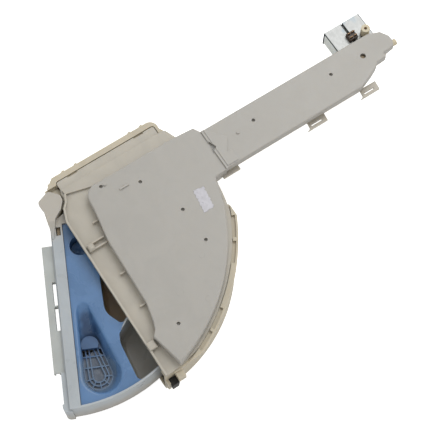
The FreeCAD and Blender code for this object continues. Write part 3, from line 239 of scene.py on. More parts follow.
def colours():
    return bpy.context.scene.dispenser_colours


def sizes():
    return bpy.context.scene.dispenser_sizes


def add_node(tree, kind, settings=None, inputs=None):
    """A node with its settings, and its inputs either set to values or linked from sockets."""
    node = tree.nodes.new(kind)
    for name, value in (settings or {}).items():
        setattr(node, name, value)
    for name, value in (inputs or {}).items():
        if isinstance(value, bpy.types.NodeSocket):
            tree.links.new(value, node.inputs[name])
        else:
            node.inputs[name].default_value = value
    return node


def noise(tree, vector, scale, detail=3.0, distortion=0.0):
    """The value of a noise at a scale in cycles per metre."""
    inputs = {"Vector": vector, "Scale": scale, "Detail": detail, "Distortion": distortion}
    return add_node(tree, "ShaderNodeTexNoise", None, inputs).outputs["Fac"]


def spread(tree, value, low, high):
    """Stretches a value so that low becomes 0 and high becomes 1, with soft ends."""
    inputs = {"Value": value, "From Min": low, "From Max": high}
    node = add_node(tree, "ShaderNodeMapRange", {"interpolation_type": "SMOOTHSTEP"}, inputs)
    return node.outputs["Result"]


def scaled(tree, value, low, high):
    """Maps a value from 0...1 onto low...high."""
    inputs = {"Value": value, "To Min": low, "To Max": high}
    return add_node(tree, "ShaderNodeMapRange", None, inputs).outputs["Result"]


def product(tree, a, b):
    return add_node(tree, "ShaderNodeMath", {"operation": "MULTIPLY"}, {0: a, 1: b}).outputs[0]


def blended(tree, mask, under, over):
    """Two colours mixed by a mask."""
    node = tree.nodes.new("ShaderNodeMix")
    node.data_type = "RGBA"
    factor, _, _, _, _, _, first, second = node.inputs[:8]
    for socket, value in ((factor, mask), (first, under), (second, over)):
        if isinstance(value, bpy.types.NodeSocket):
            tree.links.new(value, socket)
        else:
            socket.default_value = value
    return node.outputs[2]


def opaque(rgb, gain=1.0):
    return tuple(min(1.0, v * gain) for v in rgb) + (1.0,)


def new_group(name, inputs, outputs):
    """An empty shader node group with named inputs and outputs."""
    tree = bpy.data.node_groups.new(name, "ShaderNodeTree")
    for label, kind in inputs:
        tree.interface.new_socket(label, in_out="INPUT", socket_type=kind)
    for label in outputs:
        tree.interface.new_socket(label, in_out="OUTPUT", socket_type="NodeSocketFloat")
    return tree, tree.nodes.new("NodeGroupInput").outputs, tree.nodes.new("NodeGroupOutput").inputs


def mould_grain_group():
    """Fine grain height and slow cloudy tone, each a noise at its own scale."""
    inputs = [("Vector", "NodeSocketVector"), ("Grain", "NodeSocketFloat"), ("Cloud", "NodeSocketFloat")]
    tree, given, out = new_group("Mould grain", inputs, ["Height", "Tone"])
    tree.links.new(noise(tree, given["Vector"], scale=given["Grain"], detail=3.0), out["Height"])
    cloudy = noise(tree, given["Vector"], scale=given["Cloud"], detail=5.0, distortion=0.8)
    tree.links.new(spread(tree, cloudy, low=0.32, high=0.68), out["Tone"])
    return tree


def rub_and_highlight_group():
    """Broken lighter band along outer edges, rubbed wear and a painted edge highlight: where short rays
    into the solid soon leave it, times a noise.
    """
    inputs = [("Vector", "NodeSocketVector"), ("Width", "NodeSocketFloat"), ("Breaks", "NodeSocketFloat")]
    tree, given, out = new_group("Edge rub", inputs, ["Mask"])
    settings = {"inside": True, "only_local": True, "samples": 6}
    near = add_node(tree, "ShaderNodeAmbientOcclusion", settings, {"Distance": given["Width"]})
    edge = spread(tree, near.outputs["AO"], low=0.95, high=0.45)
    uneven = noise(tree, given["Vector"], scale=given["Breaks"], detail=3.0)
    broken = spread(tree, uneven, low=0.30, high=0.60)
    tree.links.new(product(tree, edge, broken), out["Mask"])
    return tree


def grime_and_shade_group():
    """Dirt and painted shade in corners and between parts: where a short ray from the surface meets another
    one, broken up by a noise.
    """
    inputs = [("Vector", "NodeSocketVector"), ("Reach", "NodeSocketFloat"), ("Breaks", "NodeSocketFloat")]
    tree, given, out = new_group("Crevice grime", inputs, ["Mask"])
    near = add_node(tree, "ShaderNodeAmbientOcclusion", {"samples": 6}, {"Distance": given["Reach"]})
    corner = spread(tree, near.outputs["AO"], low=0.85, high=0.25)
    uneven = noise(tree, given["Vector"], scale=given["Breaks"], detail=4.0)
    broken = scaled(tree, uneven, low=0.45, high=1.0)
    tree.links.new(product(tree, corner, broken), out["Mask"])
    return tree


def dust_group():
    """Dust on faces that look up: the upward share of the normal, times two noises."""
    inputs = [("Vector", "NodeSocketVector"), ("Patches", "NodeSocketFloat")]
    tree, given, out = new_group("Settled dust", inputs, ["Mask"])
    facing = add_node(tree, "ShaderNodeNewGeometry").outputs["Normal"]
    upward = add_node(tree, "ShaderNodeSeparateXYZ", None, {"Vector": facing}).outputs["Z"]
    uneven = noise(tree, given["Vector"], scale=given["Patches"], detail=6.0, distortion=0.4)
    patches = spread(tree, uneven, low=0.42, high=0.75)
    fine = scaled(tree, noise(tree, given["Vector"], scale=900.0, detail=2.0), low=0.4, high=1.0)
    mask = product(tree, spread(tree, upward, low=0.3, high=0.95), product(tree, patches, fine))
    tree.links.new(mask, out["Mask"])
    return tree


def residue_and_shade_group():
    """Darker film that thickens from one height down to another, with a ragged tide line from a noise; it
    stands for dried detergent together with painted shade deep in the wells and recesses.
    """
    inputs = [("Vector", "NodeSocketVector"), ("Top", "NodeSocketFloat"), ("Foot", "NodeSocketFloat")]
    tree, given, out = new_group("Residue and painted shade", inputs, ["Mask"])
    height = add_node(tree, "ShaderNodeSeparateXYZ", None, {"Vector": given["Vector"]}).outputs["Z"]
    uneven = noise(tree, given["Vector"], scale=60.0, detail=5.0, distortion=0.6)
    ragged = scaled(tree, uneven, low=-0.010, high=0.010)
    level = add_node(tree, "ShaderNodeMath", {"operation": "ADD"}, {0: height, 1: ragged}).outputs[0]
    inputs = {"Value": level, "From Min": given["Top"], "From Max": given["Foot"]}
    depth = add_node(tree, "ShaderNodeMapRange", {"interpolation_type": "SMOOTHSTEP"}, inputs)
    mottled = scaled(tree, noise(tree, given["Vector"], scale=140.0, detail=4.0), low=0.55, high=1.0)
    tree.links.new(product(tree, depth.outputs["Result"], mottled), out["Mask"])
    return tree


def scuff_group():
    """Thin rubbed strokes: a noise stretched along one axis, cut off near its top, in patches."""
    inputs = [("Vector", "NodeSocketVector"), ("Turn", "NodeSocketFloat")]
    tree, given, out = new_group("Fine scuffs", inputs, ["Mask"])
    turn = add_node(tree, "ShaderNodeCombineXYZ", None, {"Z": given["Turn"]}).outputs["Vector"]
    inputs = {"Vector": given["Vector"], "Rotation": turn, "Scale": (40.0, 1400.0, 40.0)}
    stretched = add_node(tree, "ShaderNodeMapping", None, inputs).outputs["Vector"]
    strokes = spread(tree, noise(tree, stretched, scale=1.0, detail=2.0), low=0.66, high=0.74)
    patches = spread(tree, noise(tree, given["Vector"], scale=22.0, detail=2.0), low=0.52, high=0.66)
    tree.links.new(product(tree, strokes, patches), out["Mask"])
    return tree


def plan_distance(tree, place, middle):
    """The distance in plan from a middle: the length of the offset with its height left out."""
    inputs = {0: place, 1: (1.0, 1.0, 0.0)}
    flat = add_node(tree, "ShaderNodeVectorMath", {"operation": "MULTIPLY"}, inputs).outputs["Vector"]
    inputs = {0: flat, 1: middle}
    return add_node(tree, "ShaderNodeVectorMath", {"operation": "DISTANCE"}, inputs).outputs["Value"]


def aged_group():
    """Patch that falls off with the distance in plan from a point, its border made ragged by a noise."""
    inputs = [("Vector", "NodeSocketVector"), ("Middle", "NodeSocketVector")]
    inputs += [("Near", "NodeSocketFloat"), ("Far", "NodeSocketFloat")]
    tree, given, out = new_group("Aged patch", inputs, ["Mask"])
    apart = plan_distance(tree, given["Vector"], given["Middle"])
    ragged = scaled(tree, noise(tree, given["Vector"], scale=55.0, detail=4.0), low=-0.006, high=0.006)
    reach = add_node(tree, "ShaderNodeMath", {"operation": "ADD"}, {0: apart, 1: ragged}).outputs[0]
    inputs = {"Value": reach, "From Min": given["Far"], "From Max": given["Near"]}
    patch = add_node(tree, "ShaderNodeMapRange", {"interpolation_type": "SMOOTHSTEP"}, inputs)
    tree.links.new(patch.outputs["Result"], out["Mask"])
    return tree


def mark_group():
    """Ring left by a round ejector: where the distance in plan from its middle is near its radius."""
    inputs = [("Vector", "NodeSocketVector"), ("Middle", "NodeSocketVector"), ("Radius", "NodeSocketFloat")]
    tree, given, out = new_group("Ejector mark", inputs, ["Mask"])
    apart = plan_distance(tree, given["Vector"], given["Middle"])
    inputs = {0: apart, 1: given["Radius"]}
    off = add_node(tree, "ShaderNodeMath", {"operation": "SUBTRACT"}, inputs).outputs[0]
    off = add_node(tree, "ShaderNodeMath", {"operation": "ABSOLUTE"}, {0: off}).outputs[0]
    broken = spread(tree, noise(tree, given["Vector"], scale=130.0, detail=2.0), low=0.35, high=0.60)
    tree.links.new(product(tree, spread(tree, off, low=0.0007, high=0.0001), broken), out["Mask"])
    return tree


GROUPS = {
    "aged": aged_group,
    "mark": mark_group,
    "grain": mould_grain_group,
    "rub_and_highlight": rub_and_highlight_group,
    "crevice": grime_and_shade_group,
    "dust": dust_group,
    "residue": residue_and_shade_group,
    "scuff": scuff_group,
}
built_groups = {}


def effect(tree, key, inputs):
    """Places one of the shared effects in a material, with its own values."""
    if key not in built_groups:
        built_groups[key] = GROUPS[key]()
    node = tree.nodes.new("ShaderNodeGroup")
    node.node_tree = built_groups[key]
    for name, value in inputs.items():
        if isinstance(value, bpy.types.NodeSocket):
            tree.links.new(value, node.inputs[name])
        else:
            node.inputs[name].default_value = value
    return node.outputs


def new_material(name):
    """A fresh material: its tree, its Principled shader and its Object coordinates."""
    material = bpy.data.materials.new(name)
    material.use_nodes = True
    tree = material.node_tree
    shader = next(n for n in tree.nodes if n.type == "BSDF_PRINCIPLED")
    place = tree.nodes.new("ShaderNodeTexCoord").outputs["Object"]
    return material, tree, shader, place


def feed(tree, shader, base, rough, height, depth, edge=0.0):
    """Links colour, roughness and a bumped normal, with the edge rounding under the bump."""
    tree.links.new(base, shader.inputs["Base Color"])
    tree.links.new(rough, shader.inputs["Roughness"])
    inputs = {"Height": height, "Strength": 1.0, "Distance": depth}
    if edge:
        rounded = add_node(tree, "ShaderNodeBevel", {"samples": 6}, {"Radius": edge})
        inputs["Normal"] = rounded.outputs["Normal"]
    bump = add_node(tree, "ShaderNodeBump", None, inputs)
    tree.links.new(bump.outputs["Normal"], shader.inputs["Normal"])


def patch(rgb, middle, near, far, most):
    """A patch of another colour: full out to one distance in plan from its middle, gone at another."""
    return rgb, middle, near, far, most


# Plastic: strength and shade of ejector marks, shade and turn of scuffs, shade of rubbed edges with their
# painted highlight
MARK_STRENGTH = 0.5
MARK_SHADE = 0.84
SCUFF_SHADE = 1.35
SCUFF_TURN = 0.7
RUB_AND_HIGHLIGHT_SHADE = 1.45

# Plastic: breaks and patches per metre, spread of the roughness, reach of red, green and blue, bump
RUB_AND_HIGHLIGHT_BREAKS = 160.0
DUST_PATCHES = 26.0
GRIME_AND_SHADE_BREAKS = 120.0
GLOSS_SPREAD = 0.07
GLOW_RADIUS = (1.0, 0.85, 0.65)
PLASTIC_BUMP = 0.00004

# Heights where the darker film starts and is full, and its strength: dried detergent with painted shade in
# the tray's wells, painted shade alone in the insert's recess
TRAY_RESIDUE_AND_SHADE = (0.044, 0.014, 0.75)
INSERT_RECESS_SHADE = (0.0455, 0.0300, 0.62)


def plastic(
    name,
    rgb,
    rough,
    tone=0.10,
    dust=0.10,
    grime_and_shade=0.35,
    rub_and_highlight=0.25,
    scuff=0.0,
    residue=None,
    dried=None,
    stain=None,
    patches=(),
    marks=(),
    depth=0.25,
):
    """Moulded plastic: clouded colour, rubbed edges with a painted highlight, dirt and painted shade in
    corners, dust, scuffs, a darker film towards the bottom of dried detergent with painted shade, its brown
    staining lifted with painted light, aged patches and faint ejector marks."""
    own, fits = colours(), sizes()
    material, tree, shader, place = new_material(name)
    grain = effect(tree, "grain", {"Vector": place, "Grain": 1.0 / fits.grain, "Cloud": 1.0 / fits.cloud})
    base = blended(tree, grain["Tone"], opaque(rgb, gain=1.0 - tone), opaque(rgb, gain=1.0 + tone))
    # Darker towards the bottom: dried detergent with painted shade in the tray's wells; on the insert,
    # painted recess shade in the colour passed as dried
    if residue:
        top, foot, most = residue
        film = effect(tree, "residue", {"Vector": place, "Top": top, "Foot": foot})
        base = blended(tree, product(tree, film["Mask"], most), base, opaque(dried or own.residue))
        # Brown staining in the prewash well, lifted with painted light against the well's shade
        if stain:
            brown, middle, near, far, most = stain
            spot = effect(tree, "aged", {"Vector": place, "Middle": middle, "Near": near, "Far": far})
            painted_light_and_stain = product(tree, film["Mask"], product(tree, spot["Mask"], most))
            base = blended(tree, painted_light_and_stain, base, opaque(brown))
    for aged, middle, near, far, most in patches:
        spot = effect(tree, "aged", {"Vector": place, "Middle": middle, "Near": near, "Far": far})
        base = blended(tree, product(tree, spot["Mask"], most), base, opaque(aged))
    for middle, radius in marks:
        ring = effect(tree, "mark", {"Vector": place, "Middle": middle, "Radius": radius})
        shade = opaque(rgb, gain=MARK_SHADE)
        base = blended(tree, product(tree, ring["Mask"], MARK_STRENGTH), base, shade)
    if scuff:
        strokes = effect(tree, "scuff", {"Vector": place, "Turn": SCUFF_TURN})
        shade = opaque(rgb, gain=SCUFF_SHADE)
        base = blended(tree, product(tree, strokes["Mask"], scuff), base, shade)
    # Lighter outer edges: rubbed wear and painted edge highlight
    edges = effect(tree, "rub_and_highlight", {"Vector": place, "Width": fits.rub_and_highlight, "Breaks": RUB_AND_HIGHLIGHT_BREAKS})
    base = blended(tree, product(tree, edges["Mask"], rub_and_highlight), base, opaque(rgb, gain=RUB_AND_HIGHLIGHT_SHADE))
    dusty = effect(tree, "dust", {"Vector": place, "Patches": DUST_PATCHES})
    base = blended(tree, product(tree, dusty["Mask"], dust), base, opaque(own.dust))
    # Dirt and painted shade in corners and between parts
    dirt_and_shade = effect(tree, "crevice", {"Vector": place, "Reach": fits.crevice, "Breaks": GRIME_AND_SHADE_BREAKS})
    base = blended(tree, product(tree, dirt_and_shade["Mask"], grime_and_shade), base, opaque(own.grime_and_shade))
    gloss = scaled(tree, grain["Tone"], low=rough - GLOSS_SPREAD, high=rough + GLOSS_SPREAD)
    shader.inputs["Subsurface Weight"].default_value = depth
    shader.inputs["Subsurface Radius"].default_value = GLOW_RADIUS
    shader.inputs["Subsurface Scale"].default_value = fits.glow
    feed(tree, shader, base, gloss, grain["Height"], depth=PLASTIC_BUMP, edge=fits.edge)
    return material


# Metal: blur of the cut edges, spangles and breaks per metre, strength of dirt and painted shade in
# corners, shade of rubbed edges with painted highlight, bump
CUT_BLUR = 0.0003
SPANGLES = 420.0
METAL_GRIME_AND_SHADE_BREAKS = 160.0
METAL_RUB_AND_HIGHLIGHT_BREAKS = 200.0
METAL_GRIME_AND_SHADE = 0.5
METAL_RUB_AND_HIGHLIGHT_SHADE = 1.3
METAL_BUMP = 0.000015


def sheared(tree, place, first, pitch, half):
    """Band along the cut edges of strips that lie side by side, bare steel darkened with a painted dark
    reflection: the distance in Y from the nearest strip's middle, past a strip's half width."""
    y = add_node(tree, "ShaderNodeSeparateXYZ", None, {"Vector": place}).outputs["Y"]
    start = add_node(tree, "ShaderNodeMath", {"operation": "SUBTRACT"}, {0: y, 1: first}).outputs[0]
    off = add_node(tree, "ShaderNodeMath", {"operation": "PINGPONG"}, {0: start, 1: pitch / 2}).outputs[0]
    return spread(tree, off, low=half - CUT_BLUR, high=half + CUT_BLUR)


def metal(name, rgb, rough, brushed, tone=0.12, rub_and_highlight=0.0, clouds=None, cut=None):
    """Plated or drawn metal: brush lines along one axis, spangled tone, clouds and bare cut edges with a
    painted dark reflection.
    """
    own, fits = colours(), sizes()
    material, tree, shader, place = new_material(name)
    shader.inputs["Metallic"].default_value = 1.0
    lines = add_node(tree, "ShaderNodeMapping", None, {"Vector": place, "Scale": brushed}).outputs["Vector"]
    strokes = noise(tree, lines, scale=1.0, detail=4.0)
    inputs = {"Vector": place, "Scale": SPANGLES}
    cells = add_node(tree, "ShaderNodeTexVoronoi", None, inputs).outputs["Color"]
    spangle = add_node(tree, "ShaderNodeSeparateColor", None, {"Color": cells}).outputs["Red"]
    base = blended(tree, spangle, opaque(rgb, gain=1.0 - tone), opaque(rgb, gain=1.0 + tone / 2))
    if clouds:
        uneven = noise(tree, place, scale=48.0, detail=2.0)
        base = blended(tree, spread(tree, uneven, low=0.50, high=0.66), base, opaque(clouds))
    if cut:
        # Cut edges: bare steel darkened with a painted dark reflection
        base = blended(tree, sheared(tree, place, *cut), base, opaque(own.sheared_steel_and_dark_reflection))
    # Dirt and painted shade in corners
    inputs = {"Vector": place, "Reach": fits.crevice / 2, "Breaks": METAL_GRIME_AND_SHADE_BREAKS}
    dirt_and_shade = effect(tree, "crevice", inputs)
    base = blended(tree, product(tree, dirt_and_shade["Mask"], METAL_GRIME_AND_SHADE), base, opaque(own.grime_and_shade))
    # Lighter outer edges: rubbed wear and painted edge highlight
    edges = effect(tree, "rub_and_highlight", {"Vector": place, "Width": fits.rub_and_highlight / 2, "Breaks": METAL_RUB_AND_HIGHLIGHT_BREAKS})
    base = blended(tree, product(tree, edges["Mask"], rub_and_highlight), base, opaque(rgb, gain=METAL_RUB_AND_HIGHLIGHT_SHADE))
    gloss = scaled(tree, strokes, low=rough - 0.06, high=rough + 0.10)
    feed(tree, shader, base, gloss, strokes, depth=METAL_BUMP, edge=fits.edge / 2)
    return material


# Rubber: light shade, strength and patches per metre of the bloom, bump
RUBBER_SHADE = 2.2
BLOOM = 0.15
BLOOM_PATCHES = 60.0
RUBBER_BUMP = 0.00003


def rubber(name, rgb):
    """Dull black rubber with a dusty bloom."""
    own, fits = colours(), sizes()
    material, tree, shader, place = new_material(name)
    grain = effect(tree, "grain", {"Vector": place, "Grain": 1.5 / fits.grain, "Cloud": 2.0 / fits.cloud})
    base = blended(tree, grain["Tone"], opaque(rgb), opaque(rgb, gain=RUBBER_SHADE))
    dusty = effect(tree, "dust", {"Vector": place, "Patches": BLOOM_PATCHES})
    base = blended(tree, product(tree, dusty["Mask"], BLOOM), base, opaque(own.dust))
    gloss = scaled(tree, grain["Tone"], low=0.62, high=0.80)
    feed(tree, shader, base, gloss, grain["Height"], depth=RUBBER_BUMP)
    return material


# Paper: fibres and clouds per metre, flecks, and the border's strength, shade, reach and breaks, soiled and
# darkened with painted shade
FIBRES = 2500.0
PAPER_CLOUDS = 180.0
FLECK_GREY = (0.22, 0.21, 0.24)
FLECKS = 0.35
SOIL_AND_SHADE = 0.5
SOIL_AND_SHADE_TONE = 0.7
SOIL_AND_SHADE_REACH = 0.001
SOIL_AND_SHADE_BREAKS = 200.0
PAPER_BUMP = 0.00002


def paper(name, rgb):
    """Sticker paper: fibre tone, faint grey flecks and a border soiled and darkened with painted shade."""
    own = colours()
    material, tree, shader, place = new_material(name)
    grain = effect(tree, "grain", {"Vector": place, "Grain": FIBRES, "Cloud": PAPER_CLOUDS})
    base = blended(tree, grain["Tone"], opaque(rgb, gain=0.93), opaque(rgb, gain=1.06))
    fleck = spread(tree, noise(tree, place, scale=420.0, detail=3.0, distortion=0.5), low=0.60, high=0.72)
    base = blended(tree, product(tree, fleck, FLECKS), base, opaque(FLECK_GREY))
    # Border soiled and darkened with painted shade
    dirt_and_shade = effect(tree, "crevice", {"Vector": place, "Reach": SOIL_AND_SHADE_REACH, "Breaks": SOIL_AND_SHADE_BREAKS})
    base = blended(tree, product(tree, dirt_and_shade["Mask"], SOIL_AND_SHADE), base, opaque(own.dust, gain=SOIL_AND_SHADE_TONE))
    gloss = scaled(tree, grain["Tone"], low=0.5, high=0.7)
    feed(tree, shader, base, gloss, grain["Height"], depth=PAPER_BUMP)
    return material


def thicken(piece, thickness, offset):
    """Gives a sheet its thickness, above its surface for an offset of 1 and below it for -1."""
    body = piece.modifiers.new("Thickness", "SOLIDIFY")
    body.thickness = thickness
    body.offset = offset


def dress(names, material):
    """Gives CAD nodes a finish through their material slots."""
    for name in names:
        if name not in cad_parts:
            raise RuntimeError(f"the frame has no node named {name}")
        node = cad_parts[name]
        node.data.materials.clear()
        node.data.materials.append(material)


def new_piece(name, points, faces, smooth=True):
    """A mesh object at the origin from arrays of points and faces."""
    mesh = bpy.data.meshes.new(name)
    mesh.from_pydata(points.tolist(), [], faces.tolist())
    mesh.polygons.foreach_set("use_smooth", np.full(len(mesh.polygons), smooth))
    mesh.update()
    piece = bpy.data.objects.new(name, mesh)
    bpy.context.scene.collection.objects.link(piece)
    return piece


def grid_faces(rows, columns, wrap=False):
    """Corner numbers of the quads of a grid, whose columns may close on themselves."""
    row = np.arange(rows - 1)[:, None]
    column = np.arange(columns if wrap else columns - 1)[None, :]
    after = (column + 1) % columns
    first, second = row * columns, (row + 1) * columns
    corners = [first + column, first + after, second + after, second + column]
    return np.stack([np.broadcast_to(c, (rows - 1, column.shape[1])) for c in corners], -1).reshape(-1, 4)


def four_sided_surface(corners, level, curl, rows, columns):
    """Sheet over four corners: the bilinear blend of the corners, with a slow wave along each border
    and a lift that grows with the eighth power of the distance from the middle."""
    u, v = np.meshgrid(np.linspace(0, 1, columns), np.linspace(0, 1, rows))
    a, b, c, d = (np.array(p) for p in corners)
    plan = (
        ((1 - u) * (1 - v))[..., None] * a
        + (u * (1 - v))[..., None] * b
        + (u * v)[..., None] * c
        + ((1 - u) * v)[..., None] * d
    )
    along, across = np.abs(2 * u - 1), np.abs(2 * v - 1)
    ragged = 0.00035 * np.sin(37 * u + 11 * v) + 0.00022 * np.sin(91 * v - 23 * u)
    plan += ragged[..., None] * (np.maximum(along, across) ** 12)[..., None]
    lift = level + curl * (along * across) ** 8 + 0.00004 * np.sin(9 * u) * np.sin(7 * v)
    return np.concatenate([plan, lift[..., None]], -1).reshape(-1, 3)


def film_surface(middle, turn, reach, level, sag):
    """Sheet over an ellipse: a square grid whose u and v are drawn in by the root of 1 - v*v/2 and
    1 - u*u/2, sagging with the square of the distance to its border, with two crossed ripples."""
    rows, columns = FILM_GRID
    u, v = np.meshgrid(np.linspace(-1, 1, columns), np.linspace(-1, 1, rows))
    along, across = u * np.sqrt(1 - v * v / 2), v * np.sqrt(1 - u * u / 2)
    ragged = 1 + 0.03 * np.sin(7 * np.arctan2(across, along))
    x, y = reach[0] * along * ragged, reach[1] * across * ragged
    inside = 1 - along**2 - across**2
    z = level - sag * inside * (1 + 0.4 * np.sin(9 * u + 2) * np.sin(8 * v))
    east = middle[0] + x * math.cos(turn) - y * math.sin(turn)
    north = middle[1] + x * math.sin(turn) + y * math.cos(turn)
    return np.stack([east, north, z], -1).reshape(-1, 3)


def ledge_surface(first, last, inner, front, reach, level, rows, columns):
    """Flat sheet about the hinge: a polar grid whose inner edge is a circle cut off at the front, and
    whose outer edge is the nearest of a side wall, a rear wall and a circle."""
    turn = np.linspace(first, last, columns)
    side, back, most = reach
    near = np.maximum(inner, front / np.sin(turn))
    away = np.where(np.cos(turn) < 0, side / np.maximum(-np.cos(turn), 1e-6), most)
    far = np.minimum(np.minimum(most, back / np.sin(turn)), away)
    out = near + np.linspace(0, 1, rows)[:, None] * (far - near)
    sheet = [out * np.cos(turn), out * np.sin(turn), np.full_like(out, level)]
    return np.stack(sheet, -1).reshape(-1, 3)


def helix_tube(start, end, y, z, coil, wire, turns, around=10, steps=42):
    """Wire wound about a line along X: a circle of the wire's radius carried along a helix, whose
    first and last turns lie flat."""
    count = turns * steps + 1
    share_along = np.linspace(0, 1, count)
    flat_ends = np.clip((share_along * turns - 1) / (turns - 2), 0, 1)
    angle = 2 * np.pi * turns * share_along
    middle_x = start + wire + (end - start - 2 * wire) * flat_ends
    turn = np.linspace(0, 2 * np.pi, around, endpoint=False)
    out = coil + wire * np.cos(turn)[None, :]
    x = middle_x[:, None] + wire * np.sin(turn)[None, :]
    rows = np.stack([x, y + out * np.cos(angle)[:, None], z + out * np.sin(angle)[:, None]], -1)
    return rows.reshape(-1, 3), count, around


class DISPENSER_OT_housing(bpy.types.Operator):
    """Finishes the tub, the roof plate, the hinge pin and the catch"""

    bl_idname = "dispenser.housing"
    bl_label = "Housing"

    def execute(self, context):
        own = colours()
        finish = {"tone": 0.06, "grime_and_shade": 0.15, "scuff": 0.2}
        dress(["housing_tub"], plastic("tub cream", own.tub_cream, rough=0.46, **finish))
        ear = patch(own.aged_cream, ARM_EAR, near=0.008, far=0.011, most=0.9)
        peg = patch(own.aged_cream, ARM_PEG, near=0.008, far=0.013, most=0.9)
        finish = {"tone": 0.06, "grime_and_shade": 0.15, "patches": [ear, peg]}
        dress(["distributor_plate"], plastic("plate cream", own.plate_cream, rough=0.44, **finish))
        dress(["hinge_pin"], metal("pin steel", own.bright_steel, rough=0.28, brushed=(600.0, 600.0, 20.0)))
        finish = {"dust": 0.0, "grime_and_shade": 0.0, "rub_and_highlight": 0.3, "depth": 0.0}
        dress(["drawer_catch"], plastic("catch black", own.catch_black, rough=0.55, **finish))
        return {"FINISHED"}


class DISPENSER_OT_cover(bpy.types.Operator):
    """Finishes the cover over the bay and the arm, and its screw"""

    bl_idname = "dispenser.cover"
    bl_label = "Cover"

    def execute(self, context):
        own = colours()
        marks = [((x, y, 0.0), radius) for x, y, radius in EJECTOR_MARKS]
        finish = {"tone": 0.035, "dust": 0.14, "grime_and_shade": 0.12, "rub_and_highlight": 0.4, "scuff": 0.25, "marks": marks}
        grey = plastic("cover grey", own.cover_grey, rough=0.42, **finish)
        dress(["distributor_cover"], grey)
        steel = metal("screw steel", own.dark_steel, rough=0.42, brushed=(500.0, 500.0, 500.0), rub_and_highlight=0.4)
        dress(["cover_screw"], steel)
        return {"FINISHED"}


class DISPENSER_OT_drawer(bpy.types.Operator):
    """Finishes the drawer with its rail and the insert"""

    bl_idname = "dispenser.drawer"
    bl_label = "Drawer"

    def execute(self, context):
        own = colours()
        # Prewash staining, lifted with painted light against the deep well's shade
        prewash = patch(own.stain, PREWASH_FLOOR, near=0.024, far=0.042, most=1.0)
        hinge_end = patch(own.aged_white, HINGE, near=0.020, far=0.042, most=0.9)
        finish = {"tone": 0.04, "scuff": 0.2, "grime_and_shade": 0.15}
        finish |= {"residue": TRAY_RESIDUE_AND_SHADE, "stain": prewash, "patches": [hinge_end]}
        dress(["drawer_tray"], plastic("drawer white", own.drawer_white, rough=0.34, **finish))
        finish = {"tone": 0.05, "scuff": 0.2, "grime_and_shade": 0.15}
        dress(["front_rail"], plastic("rail grey", own.rail_grey, rough=0.40, **finish))
        # Painted shade in the recess's trough, by the siphon cap and at the end under the roof; dried
        # softener on the strainer's bars
        painted_light_and_stain = [
            patch(own.recess_shade_blue, TROUGH_HEAD, near=0.003, far=0.0085, most=0.7),
            patch(own.recess_shade_blue, TROUGH, near=0.005, far=0.0105, most=0.7),
            patch(own.recess_shade_blue, SIPHON_CAP, near=0.006, far=0.012, most=0.3),
            patch(own.recess_shade_blue, INSERT_END, near=0.004, far=0.018, most=0.35),
            patch(own.worn_blue, STRAINER, near=0.016, far=0.021, most=0.8),
        ]
        finish = {"tone": 0.07, "dust": 0.04, "grime_and_shade": 0.3, "patches": painted_light_and_stain}
        # The insert's recess darkens towards its bottom with painted shade
        finish |= {"residue": INSERT_RECESS_SHADE, "dried": own.recess_shade_blue}
        dress(["drawer_insert"], plastic("insert blue", own.insert_blue, rough=0.30, **finish))
        return {"FINISHED"}


class DISPENSER_OT_film(bpy.types.Operator):
    """Lays the dried softener under the insert's strainer and the floor of its finger cup"""

    bl_idname = "dispenser.film"
    bl_label = "Softener film"

    def execute(self, context):
        own, fits = colours(), sizes()
        points = film_surface(SOFTENER_FILM, FILM_TURN, FILM_REACH, FILM_LEVEL, fits.film_sag)
        film = new_piece("softener_film", points, grid_faces(*FILM_GRID))
        finish = {"tone": 0.25, "grime_and_shade": 0.0, "rub_and_highlight": 0.0}
        film.data.materials.append(plastic("softener film", own.film, rough=0.55, **finish))
        points = film_surface(FINGER_CUP, 0.0, CUP_REACH, CUP_LEVEL, fits.film_sag)
        cup = new_piece("finger_floor", points, grid_faces(*FILM_GRID))
        finish = {"tone": 0.07, "grime_and_shade": 0.3, "rub_and_highlight": 0.0}
        cup.data.materials.append(plastic("cup blue", own.insert_blue, rough=0.36, **finish))
        for piece in (film, cup):
            thicken(piece, fits.film_thick, -1.0)
            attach(piece, "drawer")
        return {"FINISHED"}


class DISPENSER_OT_ledges(bpy.types.Operator):
    """Lays the ledge round the hinge column, the floor under the crease, and under the drawer's notch a
    brown sheet of painted shade
    """

    bl_idname = "dispenser.ledges"
    bl_label = "Ledges"

    def execute(self, context):
        own, fits = colours(), sizes()
        points = ledge_surface(*LEDGE_TURN, LEDGE_INNER, LEDGE_FRONT, LEDGE_REACH, LEDGE_LEVEL, *LEDGE_GRID)
        ledge = new_piece("hinge_ledge", points, grid_faces(*LEDGE_GRID), smooth=False)
        ledge.data.materials.append(plastic("ledge cream", own.tub_cream, rough=0.46, tone=0.06, grime_and_shade=0.1))
        thicken(ledge, fits.ledge_thick, 1.0)
        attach(ledge, "housing")
        # A brown sheet of painted shade in the gap under the drawer's notch
        points = four_sided_surface(NOTCH_CORNERS, NOTCH_LEVEL, 0.0, *NOTCH_GRID)
        stain = new_piece("notch_shade_sheet", points, grid_faces(*NOTCH_GRID))
        finish = {"tone": 0.2, "grime_and_shade": 0.0, "rub_and_highlight": 0.0}
        stain.data.materials.append(plastic("notch stain", own.notch_shade_brown, rough=0.50, **finish))
        thicken(stain, fits.film_thick, 1.0)
        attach(stain, "drawer")
        points = four_sided_surface(CREASE_CORNERS, CREASE_LEVEL, 0.0, *CREASE_GRID)
        crease = new_piece("crease_floor", points, grid_faces(*CREASE_GRID))
        finish = {"tone": 0.05, "grime_and_shade": 0.1, "rub_and_highlight": 0.0}
        crease.data.materials.append(plastic("crease grey", own.cover_grey, rough=0.42, **finish))
        thicken(crease, fits.film_thick, 1.0)
        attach(crease, "housing")
        return {"FINISHED"}


